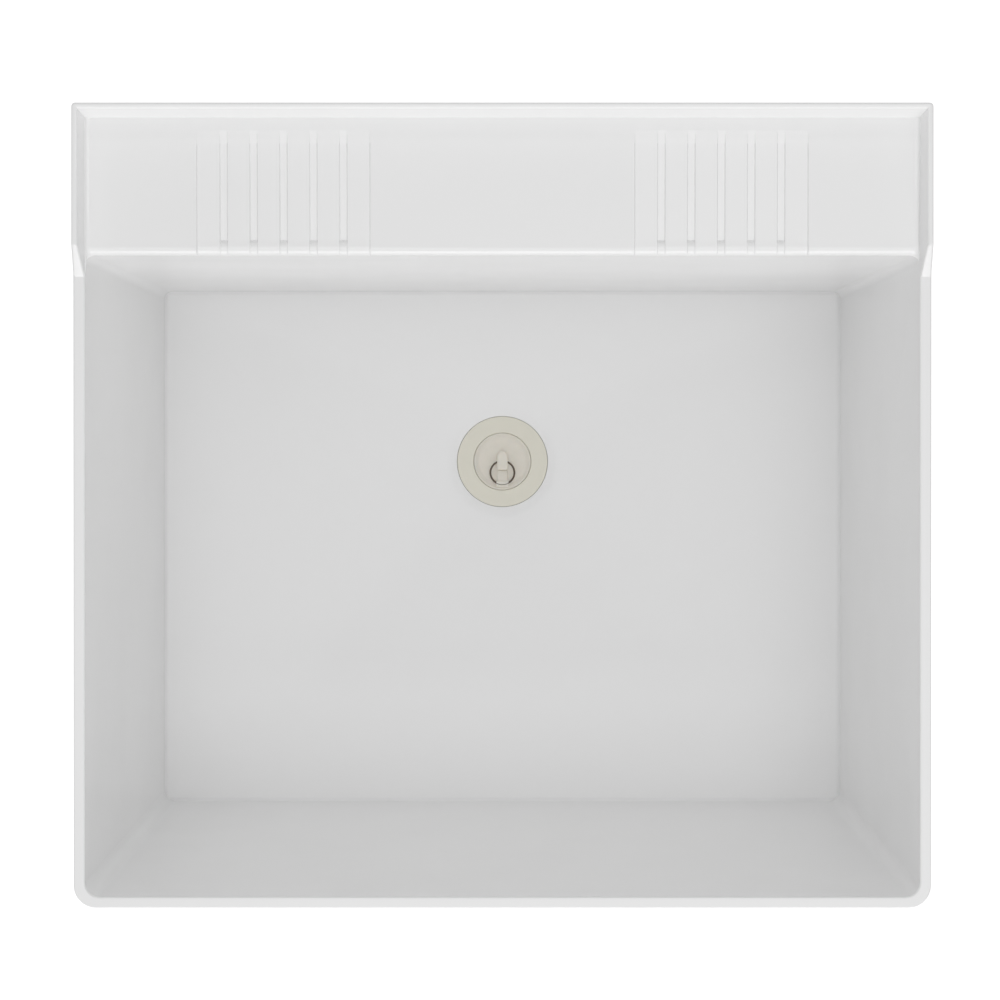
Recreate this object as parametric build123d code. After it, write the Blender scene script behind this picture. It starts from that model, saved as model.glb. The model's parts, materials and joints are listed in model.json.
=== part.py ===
from build123d import *
import math
import os

# Floor-standing single-bowl laundry tub, in millimetres.
# +Z is up, -Y is the front, +Y is the wall side, and the origin is on the floor
# under the middle of the tub's outline.

# Overall size
overall_width = 584.2
overall_depth = 546.1
overall_height = 857.25

# Rim, deck and raised lip
lip_height = 20.0
lip_side_lean = 2.0
lip_top_width = 3.8
lip_end_y = 177.0
rim_band = 7.6
rim_skirt_height = 26.0
front_corner_radius = 15.5
rear_corner_radius = 2.5
deck_depth = 101.3
deck_thickness = 6.5
deck_edge_radius = 5.5
rim_edge_round = 1.5
lip_edge_round = 1.2
lip_root_depth = 3.0

# Bowl
bowl_depth = 330.0
floor_fall = 11.0
side_draft = 8.8
front_draft = 14.5
rear_draft = 7.0
bowl_corner_radius = 10.0
floor_fillet = 6.0
wall = 6.2
floor_thickness = 6.5
under_corner_round = 8.0

# Soap ledges: two shallow panels in the deck, each with sloping drain grooves
ledge_spacing = 298.4
ledge_width = 118.0
ledge_rear_y = 256.0
ledge_edge_drop = 1.2
groove_count = 5
groove_pitch = 20.4
groove_width = 5.6
groove_rear_y = 250.0
groove_edge_depth = 1.8
scupper_rear_y = 182.0
scupper_depth = 4.2

# Ribs under the deck
deck_rib_count = 3
deck_rib_pitch = 190.0
deck_rib_thickness = 6.0
deck_rib_height = 70.0
deck_rib_rear_height = 12.0

# Drain opening in the bowl's floor
drain_y = 26.0
drain_flat_radius = 30.0
recess_top_radius = 44.5
recess_floor_radius = 40.0
recess_depth = 4.0
drain_boss_radius = 46.0
drain_boss_thickness = 9.0
drain_hole_radius = 28.6

# Drain body
flange_radius = 38.0
flange_thickness = 3.0
flange_round = 1.0
drain_gasket_thickness = 1.4
drain_gasket_inset = 1.5
drain_thread_radius = 27.5
drain_thread_spare = 5.0
seat_top_radius = 24.5
seat_bottom_radius = 21.0
seat_depth = 13.0
cup_depth = 26.0
grid_thickness = 3.0
grid_bar_width = 3.2
outlet_bore_radius = 18.0
outlet_thread_radius = 23.7
outlet_thread_length = 24.0

# Drain clamping rings and nut
under_gasket_radius = 40.0
under_gasket_thickness = 3.0
friction_ring_radius = 37.5
friction_ring_thickness = 1.0
locknut_flat_radius = 36.0
locknut_height = 12.0
nut_lug_count = 6
lug_width = 9.0
lug_height = 3.5

# Tailpiece and its coupling nut
tailpiece_radius = 19.05
tailpiece_wall = 1.6
tailpiece_hub_radius = 19.6
tailpiece_hub_reach = 1.0
tailpiece_length = 110.0
tailpiece_flange_radius = 22.6
tailpiece_flange_thickness = 2.0
tailpiece_washer_thickness = 2.5
coupling_nut_radius = 29.0
coupling_nut_height = 20.0
coupling_nut_floor = 3.0

# Stopper with its pull tab
stopper_clearance = 0.4
stopper_rim_land = 1.3
stopper_height = 13.0
stopper_bevel = 2.6
stopper_dish_depth = 1.6
tab_width = 8.6
tab_length = 15.5
tab_height = 9.5
tab_hole_height = 5.2
tab_hole_radius = 1.7
tab_step_length = 9.4
tab_step_height = 1.4

# Pull ring
ring_outer_radius = 10.6
ring_wire_radius = 0.75
ring_rest_gap = 0.3

# Legs, pressed from steel angle, and the tub's corner lugs that carry them
lug_wall = 8.0
lug_drop = 62.0
lug_flange_width = 46.0
lug_inset = 6.5
leg_thickness = 2.0
leg_top_width = 44.0
leg_foot_width = 30.0
leg_bend_radius = 4.0
leg_foot_z = 30.0
foot_plate_thickness = 2.5
foot_plate_chamfer = 11.0

# Leg bolts
bolt_radius = 3.9
bolt_hole_radius = 4.3
bolt_head_flats = 13.0
bolt_head_height = 5.3
bolts_per_flange = 2
bolt_pitch = 28.0
bolt_top_drop = 16.0
bolt_from_corner = 27.0
bolt_end_play = 3.0
washer_radius = 8.0
washer_thickness = 1.6
nut_height = 6.5

# Levelling feet
stud_radius = 4.9
stud_length = 58.0
stud_from_corner = 16.0
thread_clearance = 0.06
weld_nut_flats = 17.0
weld_nut_height = 8.0
locknut_thickness = 5.0
collar_flats = 14.0
collar_height = 6.0
pad_radius = 17.0
pad_neck_radius = 11.0
pad_rim_height = 4.0
pad_height = 10.0
pad_edge_chamfer = 0.8
pivot_radius = 4.0
pivot_depth = 6.0

# Clearance between pieces that only touch at a curved or moving face
seat_clearance = 0.3

# Derived levels and edges of the tub
half_width = overall_width / 2
rear_y = overall_depth / 2
front_y = -overall_depth / 2
rim_z = overall_height - lip_height
skirt_z = rim_z - rim_skirt_height
opening_half_width = half_width - rim_band
opening_front_y = front_y + rim_band
opening_rear_y = rear_y - deck_depth
floor_z = rim_z - bowl_depth
floor_half_width = opening_half_width - side_draft
floor_front_y = opening_front_y + front_draft
floor_rear_y = opening_rear_y - rear_draft
drain_flat_z = floor_z - floor_fall
recess_z = drain_flat_z - recess_depth
boss_z = recess_z - drain_boss_thickness
under_z = floor_z - floor_thickness
under_half_width = floor_half_width + wall
under_front_y = floor_front_y - wall
under_rear_y = floor_rear_y + wall
lip_inner_half_width = opening_half_width
lip_inner_rear_y = rear_y - rim_band

# Derived levels of the drain, from the recess downwards
flange_z = recess_z + drain_gasket_thickness
flange_top_z = flange_z + flange_thickness
under_gasket_z = boss_z - under_gasket_thickness
friction_ring_z = under_gasket_z - friction_ring_thickness
locknut_z = friction_ring_z - locknut_height
thread_end_z = locknut_z - drain_thread_spare
grid_z = flange_top_z - cup_depth
outlet_end_z = thread_end_z - outlet_thread_length
tailpiece_top_z = outlet_end_z - tailpiece_washer_thickness
tailpiece_end_z = tailpiece_top_z - tailpiece_length
coupling_nut_z = tailpiece_top_z - tailpiece_flange_thickness - coupling_nut_floor

# Derived levels of the stopper and its ring
stopper_top_z = flange_top_z
seat_taper = (seat_top_radius - seat_bottom_radius) / seat_depth
stopper_radius = seat_top_radius - stopper_clearance
stopper_bottom_radius = stopper_radius - seat_taper * min(stopper_height, seat_depth)
dish_z = stopper_top_z - stopper_dish_depth
tab_hole_z = dish_z + tab_hole_height
ring_mean_radius = ring_outer_radius - ring_wire_radius
ring_hang = math.sqrt(ring_mean_radius ** 2 - (tab_width / 2) ** 2)
ring_pivot_offset = (ring_mean_radius + ring_hang) / 2
ring_reach = ring_pivot_offset + ring_mean_radius
ring_drop = tab_hole_height - ring_wire_radius - ring_rest_gap
ring_tilt = math.degrees(math.asin(ring_drop / ring_reach))

# Derived places of the legs and levelling feet
leg_outer_x = under_half_width - lug_inset
leg_front_y = under_front_y + lug_inset
leg_rear_y = under_rear_y - lug_inset
lug_top_z = under_z + floor_thickness / 2
lug_bottom_z = under_z - lug_drop
leg_top_z = under_z - seat_clearance
foot_plate_z = leg_foot_z
weld_nut_z = foot_plate_z + foot_plate_thickness
leveller_locknut_z = foot_plate_z - locknut_thickness
collar_z = pad_height + seat_clearance
stud_hole_radius = stud_radius + thread_clearance

corners = {
    "front_left": (-1, -1),
    "front_right": (1, -1),
    "rear_left": (-1, 1),
    "rear_right": (1, 1),
}


def box_between(low, high):
    """Block from its lowest corner to its highest."""
    size = [high[i] - low[i] for i in range(3)]
    centre = [(high[i] + low[i]) / 2 for i in range(3)]
    return Pos(*centre) * Box(*size)


def plan_outline(half_x, low_y, high_y, radius, level):
    """Rounded rectangle, level and symmetric about the YZ plane."""
    outline = RectangleRounded(2 * half_x, high_y - low_y, radius)
    return Pos(0, (low_y + high_y) / 2, level) * outline


def ring_solid(outer_radius, inner_radius, bottom_z, height, y=drain_y):
    """Flat ring on the drain's axis."""
    outer = Cylinder(outer_radius, height)
    inner = Cylinder(inner_radius, height * 2)
    return Pos(0, y, bottom_z + height / 2) * (outer - inner)


def turned(points):
    """Solid of revolution about the drain's axis from (radius, height) points."""
    profile = make_face(Polyline(*[(r, 0, z) for r, z in points], close=True))
    return Pos(0, drain_y, 0) * revolve(profile, Axis.Z)


def rim_block():
    """Rim band with its turned-down skirt and the deck plate behind the bowl."""
    outline = Pos(0, 0, skirt_z) * Rectangle(overall_width, overall_depth)
    front = outline.vertices().group_by(Axis.Y)[0]
    outline = fillet(front, front_corner_radius)
    rear = outline.vertices().group_by(Axis.Y)[-1]
    outline = fillet(rear, rear_corner_radius)
    block = extrude(outline, rim_skirt_height)
    block = fillet(block.edges().group_by(Axis.Z)[-1], rim_edge_round)
    block = fillet(block.edges().group_by(Axis.Z)[0], rim_edge_round)
    hollow = box_between(
        (-opening_half_width, opening_front_y, skirt_z - 1),
        (opening_half_width, rear_y - rim_band, rim_z - deck_thickness),
    )
    return block - hollow


def bowl_outside():
    """Outer form of the bowl, under the rim."""
    top = plan_outline(
        opening_half_width + wall,
        opening_front_y - wall,
        opening_rear_y + wall,
        bowl_corner_radius + wall,
        rim_z,
    )
    bottom = plan_outline(
        under_half_width, under_front_y, under_rear_y, bowl_corner_radius + wall, under_z
    )
    body = loft([top, bottom], ruled=True)
    body = fillet(body.edges().group_by(Axis.Z)[0], under_corner_round)
    inset = under_corner_round
    hopper_top = plan_outline(
        under_half_width - inset,
        under_front_y + inset,
        under_rear_y - inset,
        bowl_corner_radius,
        under_z,
    )
    hopper_bottom = plan_outline(
        drain_flat_radius,
        drain_y - drain_flat_radius,
        drain_y + drain_flat_radius,
        0.99 * drain_flat_radius,
        drain_flat_z - floor_thickness,
    )
    boss_top = Pos(0, drain_y, under_z) * Circle(drain_boss_radius + floor_fall)
    boss_bottom = Pos(0, drain_y, boss_z) * Circle(drain_boss_radius)
    body += loft([hopper_top, hopper_bottom], ruled=True)
    return body + loft([boss_top, boss_bottom], ruled=True)


def bowl_cavity():
    """Inside of the bowl: drafted walls, and a floor that falls to the drain."""
    rim = plan_outline(
        opening_half_width, opening_front_y, opening_rear_y, bowl_corner_radius, rim_z
    )
    floor = plan_outline(
        floor_half_width, floor_front_y, floor_rear_y, bowl_corner_radius, floor_z
    )
    flat = plan_outline(
        drain_flat_radius,
        drain_y - drain_flat_radius,
        drain_y + drain_flat_radius,
        0.99 * drain_flat_radius,
        drain_flat_z,
    )
    cavity = loft([rim, floor], ruled=True) + loft([floor, flat], ruled=True)
    perimeter = [
        edge
        for edge in cavity.edges()
        if abs(edge.bounding_box().min.Z - floor_z) < 0.01
        and abs(edge.bounding_box().max.Z - floor_z) < 0.01
    ]
    return fillet(perimeter, floor_fillet)


def drain_opening():
    """Dished recess in the floor and the hole for the drain body."""
    over = 5.0
    slope = (recess_top_radius - recess_floor_radius) / recess_depth
    recess = turned([
        (0, recess_z),
        (recess_floor_radius, recess_z),
        (recess_top_radius + slope * over, drain_flat_z + over),
        (0, drain_flat_z + over),
    ])
    hole = Pos(0, drain_y, boss_z) * Cylinder(drain_hole_radius, 8 * drain_boss_thickness)
    return recess + hole


def deck_edge_cutter():
    """What is removed to round the deck's front edge over into the bowl."""
    r = deck_edge_radius
    reach = opening_half_width - bowl_corner_radius
    corner = Pos(0, opening_rear_y, rim_z - r) * Box(2 * reach, 2 * r, 2 * r)
    roll = Pos(0, opening_rear_y + r, rim_z - r) * Rot(0, 90, 0) * Cylinder(r, 3 * reach)
    keep = box_between(
        (-2 * reach, opening_rear_y + r, rim_z - 3 * r),
        (2 * reach, opening_rear_y + 3 * r, rim_z + 3 * r),
    )
    below = box_between(
        (-2 * reach, opening_rear_y - 3 * r, rim_z - 4 * r),
        (2 * reach, opening_rear_y + 3 * r, rim_z - r),
    )
    return corner - roll - keep - below


def lip():
    """Raised lip along the back and both sides, ramped down to the rim at its front."""
    ramp_foot_y = lip_end_y - lip_height
    root_z = rim_z - lip_root_depth
    middle_y = (ramp_foot_y + rear_y) / 2
    length = rear_y - ramp_foot_y
    outer_base = Pos(0, middle_y, root_z) * Rectangle(overall_width, length)
    outer_top = Pos(0, middle_y, overall_height) * Rectangle(
        overall_width - 2 * lip_side_lean, length
    )
    inner_rise = rim_band - lip_side_lean - lip_top_width
    inner_base_depth = lip_inner_rear_y - ramp_foot_y + length
    inner_top_depth = rear_y - lip_top_width - ramp_foot_y + length
    inner_base = Pos(0, lip_inner_rear_y - inner_base_depth / 2, root_z) * Rectangle(
        2 * lip_inner_half_width, inner_base_depth
    )
    inner_top = Pos(0, rear_y - lip_top_width - inner_top_depth / 2, overall_height) * Rectangle(
        2 * (lip_inner_half_width + inner_rise), inner_top_depth
    )
    outer = loft([outer_base, outer_top], ruled=True)
    inner = loft([inner_base, inner_top], ruled=True)
    wall_ring = outer - inner
    wall_ring = fillet(wall_ring.edges().group_by(Axis.Z)[-1], lip_edge_round)
    ramp = Polyline(
        (0, ramp_foot_y, rim_z),
        (0, lip_end_y, overall_height),
        (0, ramp_foot_y, overall_height),
        close=True,
    )
    ramp_cutter = extrude(make_face(ramp), overall_width, both=True)
    return wall_ring - ramp_cutter


def ledge_panel_cutter(centre_x):
    """Shallow wedge that tilts a soap ledge towards the bowl."""
    wedge = Polyline(
        (0, ledge_rear_y, rim_z),
        (0, opening_rear_y - 1, rim_z - ledge_edge_drop),
        (0, opening_rear_y - 1, rim_z + 1),
        (0, ledge_rear_y, rim_z + 1),
        close=True,
    )
    return Pos(centre_x, 0, 0) * extrude(make_face(wedge), ledge_width / 2, both=True)


def groove_cutter(x):
    """One drain groove with the deeper scupper at its front end."""
    slope = ledge_edge_drop / (ledge_rear_y - opening_rear_y)
    drop_at_scupper = slope * (ledge_rear_y - scupper_rear_y)
    profile = Polyline(
        (0, groove_rear_y, rim_z - slope * (ledge_rear_y - groove_rear_y)),
        (0, scupper_rear_y, rim_z - drop_at_scupper - groove_edge_depth),
        (0, scupper_rear_y, rim_z - scupper_depth),
        (0, opening_rear_y - 2, rim_z - scupper_depth),
        (0, opening_rear_y - 2, rim_z + 1),
        (0, groove_rear_y, rim_z + 1),
        close=True,
    )
    return Pos(x, 0, 0) * extrude(make_face(profile), groove_width / 2, both=True)


def ledge_cutters():
    """Panels and grooves of both soap ledges."""
    cutters = []
    for side in (-1, 1):
        centre_x = side * ledge_spacing / 2
        cutters.append(ledge_panel_cutter(centre_x))
        for i in range(groove_count):
            x = centre_x + (i - (groove_count - 1) / 2) * groove_pitch
            cutters.append(groove_cutter(x))
    return cutters


def deck_rib(x):
    """Upright rib between the bowl's rear wall, the deck and the rear skirt."""
    top = rim_z - deck_thickness / 2
    bowl_y = floor_rear_y + wall / 2
    profile = Polyline(
        (0, bowl_y, top),
        (0, rear_y - rim_band / 2, top),
        (0, rear_y - rim_band / 2, rim_z - deck_thickness - deck_rib_rear_height),
        (0, bowl_y, rim_z - deck_thickness - deck_rib_height),
        close=True,
    )
    return Pos(x, 0, 0) * extrude(make_face(profile), deck_rib_thickness / 2, both=True)


def leg_corner(side_x, side_y):
    """Outer corner of a leg's angle, in plan."""
    y = leg_front_y if side_y < 0 else leg_rear_y
    return side_x * leg_outer_x, y


def bolt_places(side_x, side_y):
    """Each bolt of one leg: a point on the leg's outer face, and the outward direction."""
    corner_x, corner_y = leg_corner(side_x, side_y)
    places = []
    for i in range(bolts_per_flange):
        z = under_z - bolt_top_drop - i * bolt_pitch
        places.append(((corner_x, corner_y - side_y * bolt_from_corner, z), (side_x, 0, 0)))
        places.append(((corner_x - side_x * bolt_from_corner, corner_y, z), (0, side_y, 0)))
    return places


def along(point, direction, distance, solid):
    """Place a solid built along +Z so that it runs in a direction from a point."""
    start = [point[i] + direction[i] * distance for i in range(3)]
    return Plane(origin=tuple(start), z_dir=direction) * solid


def corner_lug(side_x, side_y):
    """Angle-shaped lug under a corner of the bowl, which a leg wraps."""
    corner_x, corner_y = leg_corner(side_x, side_y)
    x0 = corner_x - side_x * leg_thickness
    y0 = corner_y - side_y * leg_thickness
    x1 = x0 - side_x * lug_flange_width
    y1 = y0 - side_y * lug_flange_width
    xs = sorted((x0, x1))
    ys = sorted((y0, y1))
    block = box_between((xs[0], ys[0], lug_bottom_z), (xs[1], ys[1], lug_top_z))
    upright = block.edges().filter_by(Axis.Z)
    outer = upright.sort_by(lambda e: (e.center() - Vector(x0, y0, e.center().Z)).length)[0]
    block = fillet(outer, leg_bend_radius)
    inner_x = sorted((x0 - side_x * lug_wall, x1 - side_x * 1.0))
    inner_y = sorted((y0 - side_y * lug_wall, y1 - side_y * 1.0))
    pocket = box_between(
        (inner_x[0], inner_y[0], lug_bottom_z - 1), (inner_x[1], inner_y[1], under_z)
    )
    lug = block - pocket
    for point, direction in bolt_places(side_x, side_y):
        hole = Cylinder(bolt_hole_radius, 4 * lug_wall)
        lug -= along(point, direction, 0, hole)
    return lug


def round_opening(body):
    """Round the rim's inner edge all round the bowl."""
    mouth = [
        edge
        for edge in body.edges().group_by(Axis.Z)[-1]
        if abs(edge.center().X) < opening_half_width + rim_edge_round / 2
        and edge.center().Y > opening_front_y - rim_edge_round / 2
        and edge.center().Y < opening_rear_y + rim_edge_round / 2
    ]
    return fillet(mouth, rim_edge_round)


def tub():
    """The one-piece moulded tub."""
    body = rim_block() + bowl_outside()
    for i in range(deck_rib_count):
        body += deck_rib((i - (deck_rib_count - 1) / 2) * deck_rib_pitch)
    for side_x, side_y in corners.values():
        body += corner_lug(side_x, side_y)
    body -= bowl_cavity()
    body = round_opening(body)
    body -= drain_opening()
    body -= deck_edge_cutter()
    for cutter in ledge_cutters():
        body -= cutter
    return body + lip()


def drain_body():
    """Drain with its flange, plug seat, cross grid and threaded outlet."""
    r_in = outlet_bore_radius
    outside = turned([
        (0, outlet_end_z),
        (outlet_thread_radius, outlet_end_z),
        (outlet_thread_radius, thread_end_z),
        (drain_thread_radius, thread_end_z),
        (drain_thread_radius, flange_z),
        (flange_radius, flange_z),
        (flange_radius, flange_top_z - flange_round),
        (flange_radius - flange_round, flange_top_z),
        (0, flange_top_z),
    ])
    inside = turned([
        (0, outlet_end_z - 1),
        (r_in, outlet_end_z - 1),
        (r_in, grid_z - 2 * grid_thickness),
        (seat_bottom_radius, grid_z - grid_thickness),
        (seat_bottom_radius, flange_top_z - seat_depth),
        (seat_top_radius, flange_top_z),
        (seat_top_radius, flange_top_z + 1),
        (0, flange_top_z + 1),
    ])
    bars = Box(2 * seat_bottom_radius + 1, grid_bar_width, grid_thickness)
    bars += Box(grid_bar_width, 2 * seat_bottom_radius + 1, grid_thickness)
    bars += Cylinder(1.6 * grid_bar_width, grid_thickness)
    return outside - inside + Pos(0, drain_y, grid_z - grid_thickness / 2) * bars


def lugged_nut(radius, bore_radius, bottom_z, height, lug_reach):
    """Round plastic nut with finger lugs."""
    nut = Cylinder(radius, height)
    for i in range(nut_lug_count):
        lug = Pos(radius, 0, 0) * Box(2 * lug_reach, lug_width, height)
        nut += Rot(0, 0, 360 * i / nut_lug_count) * lug
    nut -= Cylinder(bore_radius, 2 * height)
    return Pos(0, drain_y, bottom_z + height / 2) * nut


def drain_locknut():
    """Nut that clamps the drain body to the tub floor."""
    bore = drain_thread_radius + thread_clearance
    return lugged_nut(locknut_flat_radius, bore, locknut_z, locknut_height, lug_height)


def tailpiece():
    """Outlet tube with a hub and the flange that the coupling nut carries."""
    bore = tailpiece_radius - tailpiece_wall
    shoulder_z = tailpiece_top_z - tailpiece_flange_thickness
    hub_z = coupling_nut_z - tailpiece_hub_reach
    return turned([
        (bore, tailpiece_end_z),
        (tailpiece_radius, tailpiece_end_z),
        (tailpiece_radius, hub_z),
        (tailpiece_hub_radius, hub_z),
        (tailpiece_hub_radius, shoulder_z),
        (tailpiece_flange_radius, shoulder_z),
        (tailpiece_flange_radius, tailpiece_top_z),
        (bore, tailpiece_top_z),
    ])


def coupling_nut():
    """Nut that draws the tailpiece up against the drain outlet."""
    bore = outlet_thread_radius + thread_clearance
    nut = lugged_nut(coupling_nut_radius, bore, coupling_nut_z, coupling_nut_height, lug_height)
    floor = ring_solid(
        coupling_nut_radius,
        tailpiece_hub_radius + seat_clearance,
        coupling_nut_z,
        coupling_nut_floor,
    )
    return nut + floor


def stopper():
    """Tapered plug with a dished top and a pull tab with a hole across it."""
    bevel_r = stopper_radius - stopper_bevel
    plug = turned([
        (0, stopper_top_z - stopper_height),
        (stopper_bottom_radius, stopper_top_z - stopper_height),
        (stopper_radius, stopper_top_z),
        (stopper_radius - stopper_rim_land, stopper_top_z),
        (bevel_r, dish_z),
        (0, dish_z),
    ])
    tab_plan = RectangleRounded(tab_width, tab_length, 0.42 * tab_width)
    tab = extrude(tab_plan, tab_height)
    tab = fillet(tab.edges().group_by(Axis.Z)[-1], 0.3 * tab_width)
    step = Pos(0, -(tab_length + tab_step_length) / 2, tab_step_height / 2) * Box(
        tab_width, tab_step_length, tab_step_height
    )
    step = fillet(step.edges().filter_by(Axis.Z).group_by(Axis.Y)[0], 0.3 * tab_width)
    link = Pos(0, -tab_length / 2, tab_step_height / 2) * Box(
        tab_width, tab_width, tab_step_height
    )
    plug += Pos(0, drain_y, dish_z) * (tab + step + link)
    hole = Rot(0, 90, 0) * Cylinder(tab_hole_radius, 2 * tab_width)
    return plug - Pos(0, drain_y, tab_hole_z) * hole


def stopper_ring():
    """Steel wire ring that lies forward on the stopper, through the tab's hole."""
    ring = Torus(ring_mean_radius, ring_wire_radius)
    ring = Rot(ring_tilt, 0, 0) * Pos(0, -ring_pivot_offset, 0) * ring
    return Pos(0, drain_y, tab_hole_z) * ring


def leg_angle(height):
    """Tapering angle about the +X +Y corner of a square that is centred on the origin."""
    outer = Rectangle(2 * leg_top_width, 2 * leg_top_width)
    outer = fillet(outer.vertices(), leg_bend_radius)
    inner_side = 2 * (leg_top_width - leg_thickness)
    inner = Rectangle(inner_side, inner_side)
    inner = fillet(inner.vertices(), leg_bend_radius - leg_thickness)
    quarter = Pos(leg_top_width, leg_top_width) * Rectangle(2 * leg_top_width, 2 * leg_top_width)
    angle = extrude((outer - inner) & quarter, height)
    narrowing = leg_top_width - leg_foot_width
    taper_top_z = height - lug_drop - narrowing
    taper = Polyline((0, 0, 0), (narrowing, 0, 0), (0, 0, taper_top_z), close=True)
    taper_cutter = extrude(make_face(taper), 2 * leg_top_width, both=True)
    return angle - taper_cutter - Rot(0, 0, 90) * taper_cutter


def foot_plate():
    """Plate welded into the foot of the angle, with its inner corner cut off."""
    side = leg_foot_width - leg_thickness / 2
    middle = leg_top_width - leg_thickness / 2 - side / 2
    plate = Pos(middle, middle, foot_plate_thickness / 2) * Box(side, side, foot_plate_thickness)
    upright = plate.edges().filter_by(Axis.Z).sort_by(lambda e: e.center().X + e.center().Y)
    plate = chamfer(upright[0], foot_plate_chamfer)
    upright = plate.edges().filter_by(Axis.Z).sort_by(lambda e: e.center().X + e.center().Y)
    return fillet(upright[-1], leg_bend_radius - leg_thickness / 2)


def leg(side_x, side_y):
    """Pressed steel angle leg with a welded foot plate."""
    corner_x, corner_y = leg_corner(side_x, side_y)
    hole_place = leg_top_width - stud_from_corner
    piece = leg_angle(leg_top_z - leg_foot_z) + foot_plate()
    piece -= Pos(hole_place, hole_place) * Cylinder(stud_hole_radius, 6 * foot_plate_thickness)
    turn = math.degrees(math.atan2(side_y, side_x)) - 45
    centre_x = corner_x - side_x * leg_top_width
    centre_y = corner_y - side_y * leg_top_width
    placed = Pos(centre_x, centre_y, leg_foot_z) * Rot(0, 0, turn) * piece
    for point, direction in bolt_places(side_x, side_y):
        placed -= along(point, direction, 0, Cylinder(bolt_hole_radius, 8 * leg_thickness))
    return placed


def leg_bolt(point, direction):
    """Hexagon bolt through a leg flange and the tub's lug."""
    shank_length = leg_thickness + lug_wall + washer_thickness + nut_height + bolt_end_play
    head = extrude(RegularPolygon(bolt_head_flats / 2, 6, major_radius=False), bolt_head_height)
    shank = Pos(0, 0, -shank_length / 2) * Cylinder(bolt_radius, shank_length)
    return along(point, direction, 0, head + shank)


def leg_washer(point, direction):
    """Plain washer between the tub's lug and the nut."""
    ring = Cylinder(washer_radius, washer_thickness)
    ring -= Cylinder(bolt_radius + thread_clearance, 2 * washer_thickness)
    depth = leg_thickness + lug_wall + washer_thickness / 2
    return along(point, direction, -depth, ring)


def leg_nut(point, direction):
    """Hexagon nut inside the lug."""
    plan = RegularPolygon(bolt_head_flats / 2, 6, major_radius=False)
    plan -= Circle(bolt_radius + thread_clearance)
    depth = leg_thickness + lug_wall + washer_thickness + nut_height
    return along(point, direction, -depth, extrude(plan, nut_height))


def stud_place(side_x, side_y):
    """Axis of a leg's levelling stud, in plan."""
    corner_x, corner_y = leg_corner(side_x, side_y)
    return corner_x - side_x * stud_from_corner, corner_y - side_y * stud_from_corner


def hex_ring(x, y, z, flats, height, bore_radius):
    """Hexagon nut on an upright stud."""
    plan = RegularPolygon(flats / 2, 6, major_radius=False) - Circle(bore_radius)
    return Pos(x, y, z) * extrude(plan, height)


def leveller_stud(side_x, side_y):
    """Threaded stud with a spanner collar and the pivot that turns in the pad."""
    x, y = stud_place(side_x, side_y)
    collar = hex_ring(x, y, collar_z, collar_flats, collar_height, 0.5 * pivot_radius)
    pivot_z = pad_height - pivot_depth
    pivot = Pos(x, y, (pivot_z + collar_z + collar_height) / 2) * Cylinder(
        pivot_radius, collar_z + collar_height - pivot_z
    )
    thread_z = collar_z + collar_height / 2
    thread = Pos(x, y, thread_z + stud_length / 2) * Cylinder(stud_radius, stud_length)
    tip = thread.edges().sort_by(Axis.Z)[-1]
    thread = chamfer(tip, 0.2 * stud_radius)
    return collar + pivot + thread


def leveller_pad(side_x, side_y):
    """Round foot pad with a socket for the stud's pivot."""
    x, y = stud_place(side_x, side_y)
    profile = make_face(Polyline(
        (0, 0, 0),
        (pad_radius - pad_edge_chamfer, 0, 0),
        (pad_radius, 0, pad_edge_chamfer),
        (pad_radius, 0, pad_rim_height),
        (pad_neck_radius, 0, pad_height),
        (0, 0, pad_height),
        close=True,
    ))
    pad = revolve(profile, Axis.Z)
    socket_depth = pivot_depth + seat_clearance
    socket = Pos(0, 0, pad_height - socket_depth / 2) * Cylinder(
        pivot_radius + thread_clearance, socket_depth
    )
    return Pos(x, y, 0) * (pad - socket)


def all_bolts(maker):
    """One fastener at every bolt place of every leg, as one group of solids."""
    solids = []
    for side_x, side_y in corners.values():
        for point, direction in bolt_places(side_x, side_y):
            solids.append(maker(point, direction))
    return Compound(children=solids)


def all_hex_rings(z, flats, height):
    """One nut on every levelling stud, as one group of solids."""
    solids = []
    for side_x, side_y in corners.values():
        x, y = stud_place(side_x, side_y)
        solids.append(hex_ring(x, y, z, flats, height, stud_hole_radius))
    return Compound(children=solids)


def build_nodes():
    """Every piece of the tub by its node name."""
    nodes = {
        "tub": tub(),
        "drain_body": drain_body(),
        "drain_gasket": ring_solid(
            flange_radius - drain_gasket_inset,
            drain_hole_radius + seat_clearance,
            recess_z,
            drain_gasket_thickness,
        ),
        "under_gasket": ring_solid(
            under_gasket_radius,
            drain_thread_radius + seat_clearance,
            under_gasket_z,
            under_gasket_thickness,
        ),
        "friction_ring": ring_solid(
            friction_ring_radius,
            drain_thread_radius + seat_clearance,
            friction_ring_z,
            friction_ring_thickness,
        ),
        "drain_locknut": drain_locknut(),
        "tailpiece": tailpiece(),
        "tailpiece_washer": ring_solid(
            tailpiece_flange_radius,
            outlet_bore_radius,
            tailpiece_top_z,
            tailpiece_washer_thickness,
        ),
        "coupling_nut": coupling_nut(),
        "stopper": stopper(),
        "stopper_ring": stopper_ring(),
        "leg_bolts": all_bolts(leg_bolt),
        "leg_washers": all_bolts(leg_washer),
        "leg_nuts": all_bolts(leg_nut),
        "leg_weld_nuts": all_hex_rings(weld_nut_z, weld_nut_flats, weld_nut_height),
        "leveller_locknuts": all_hex_rings(
            leveller_locknut_z, weld_nut_flats, locknut_thickness
        ),
    }
    for name, (side_x, side_y) in corners.items():
        nodes["leg_" + name] = leg(side_x, side_y)
        nodes["leveller_stud_" + name] = leveller_stud(side_x, side_y)
        nodes["leveller_pad_" + name] = leveller_pad(side_x, side_y)
    return nodes


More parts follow.
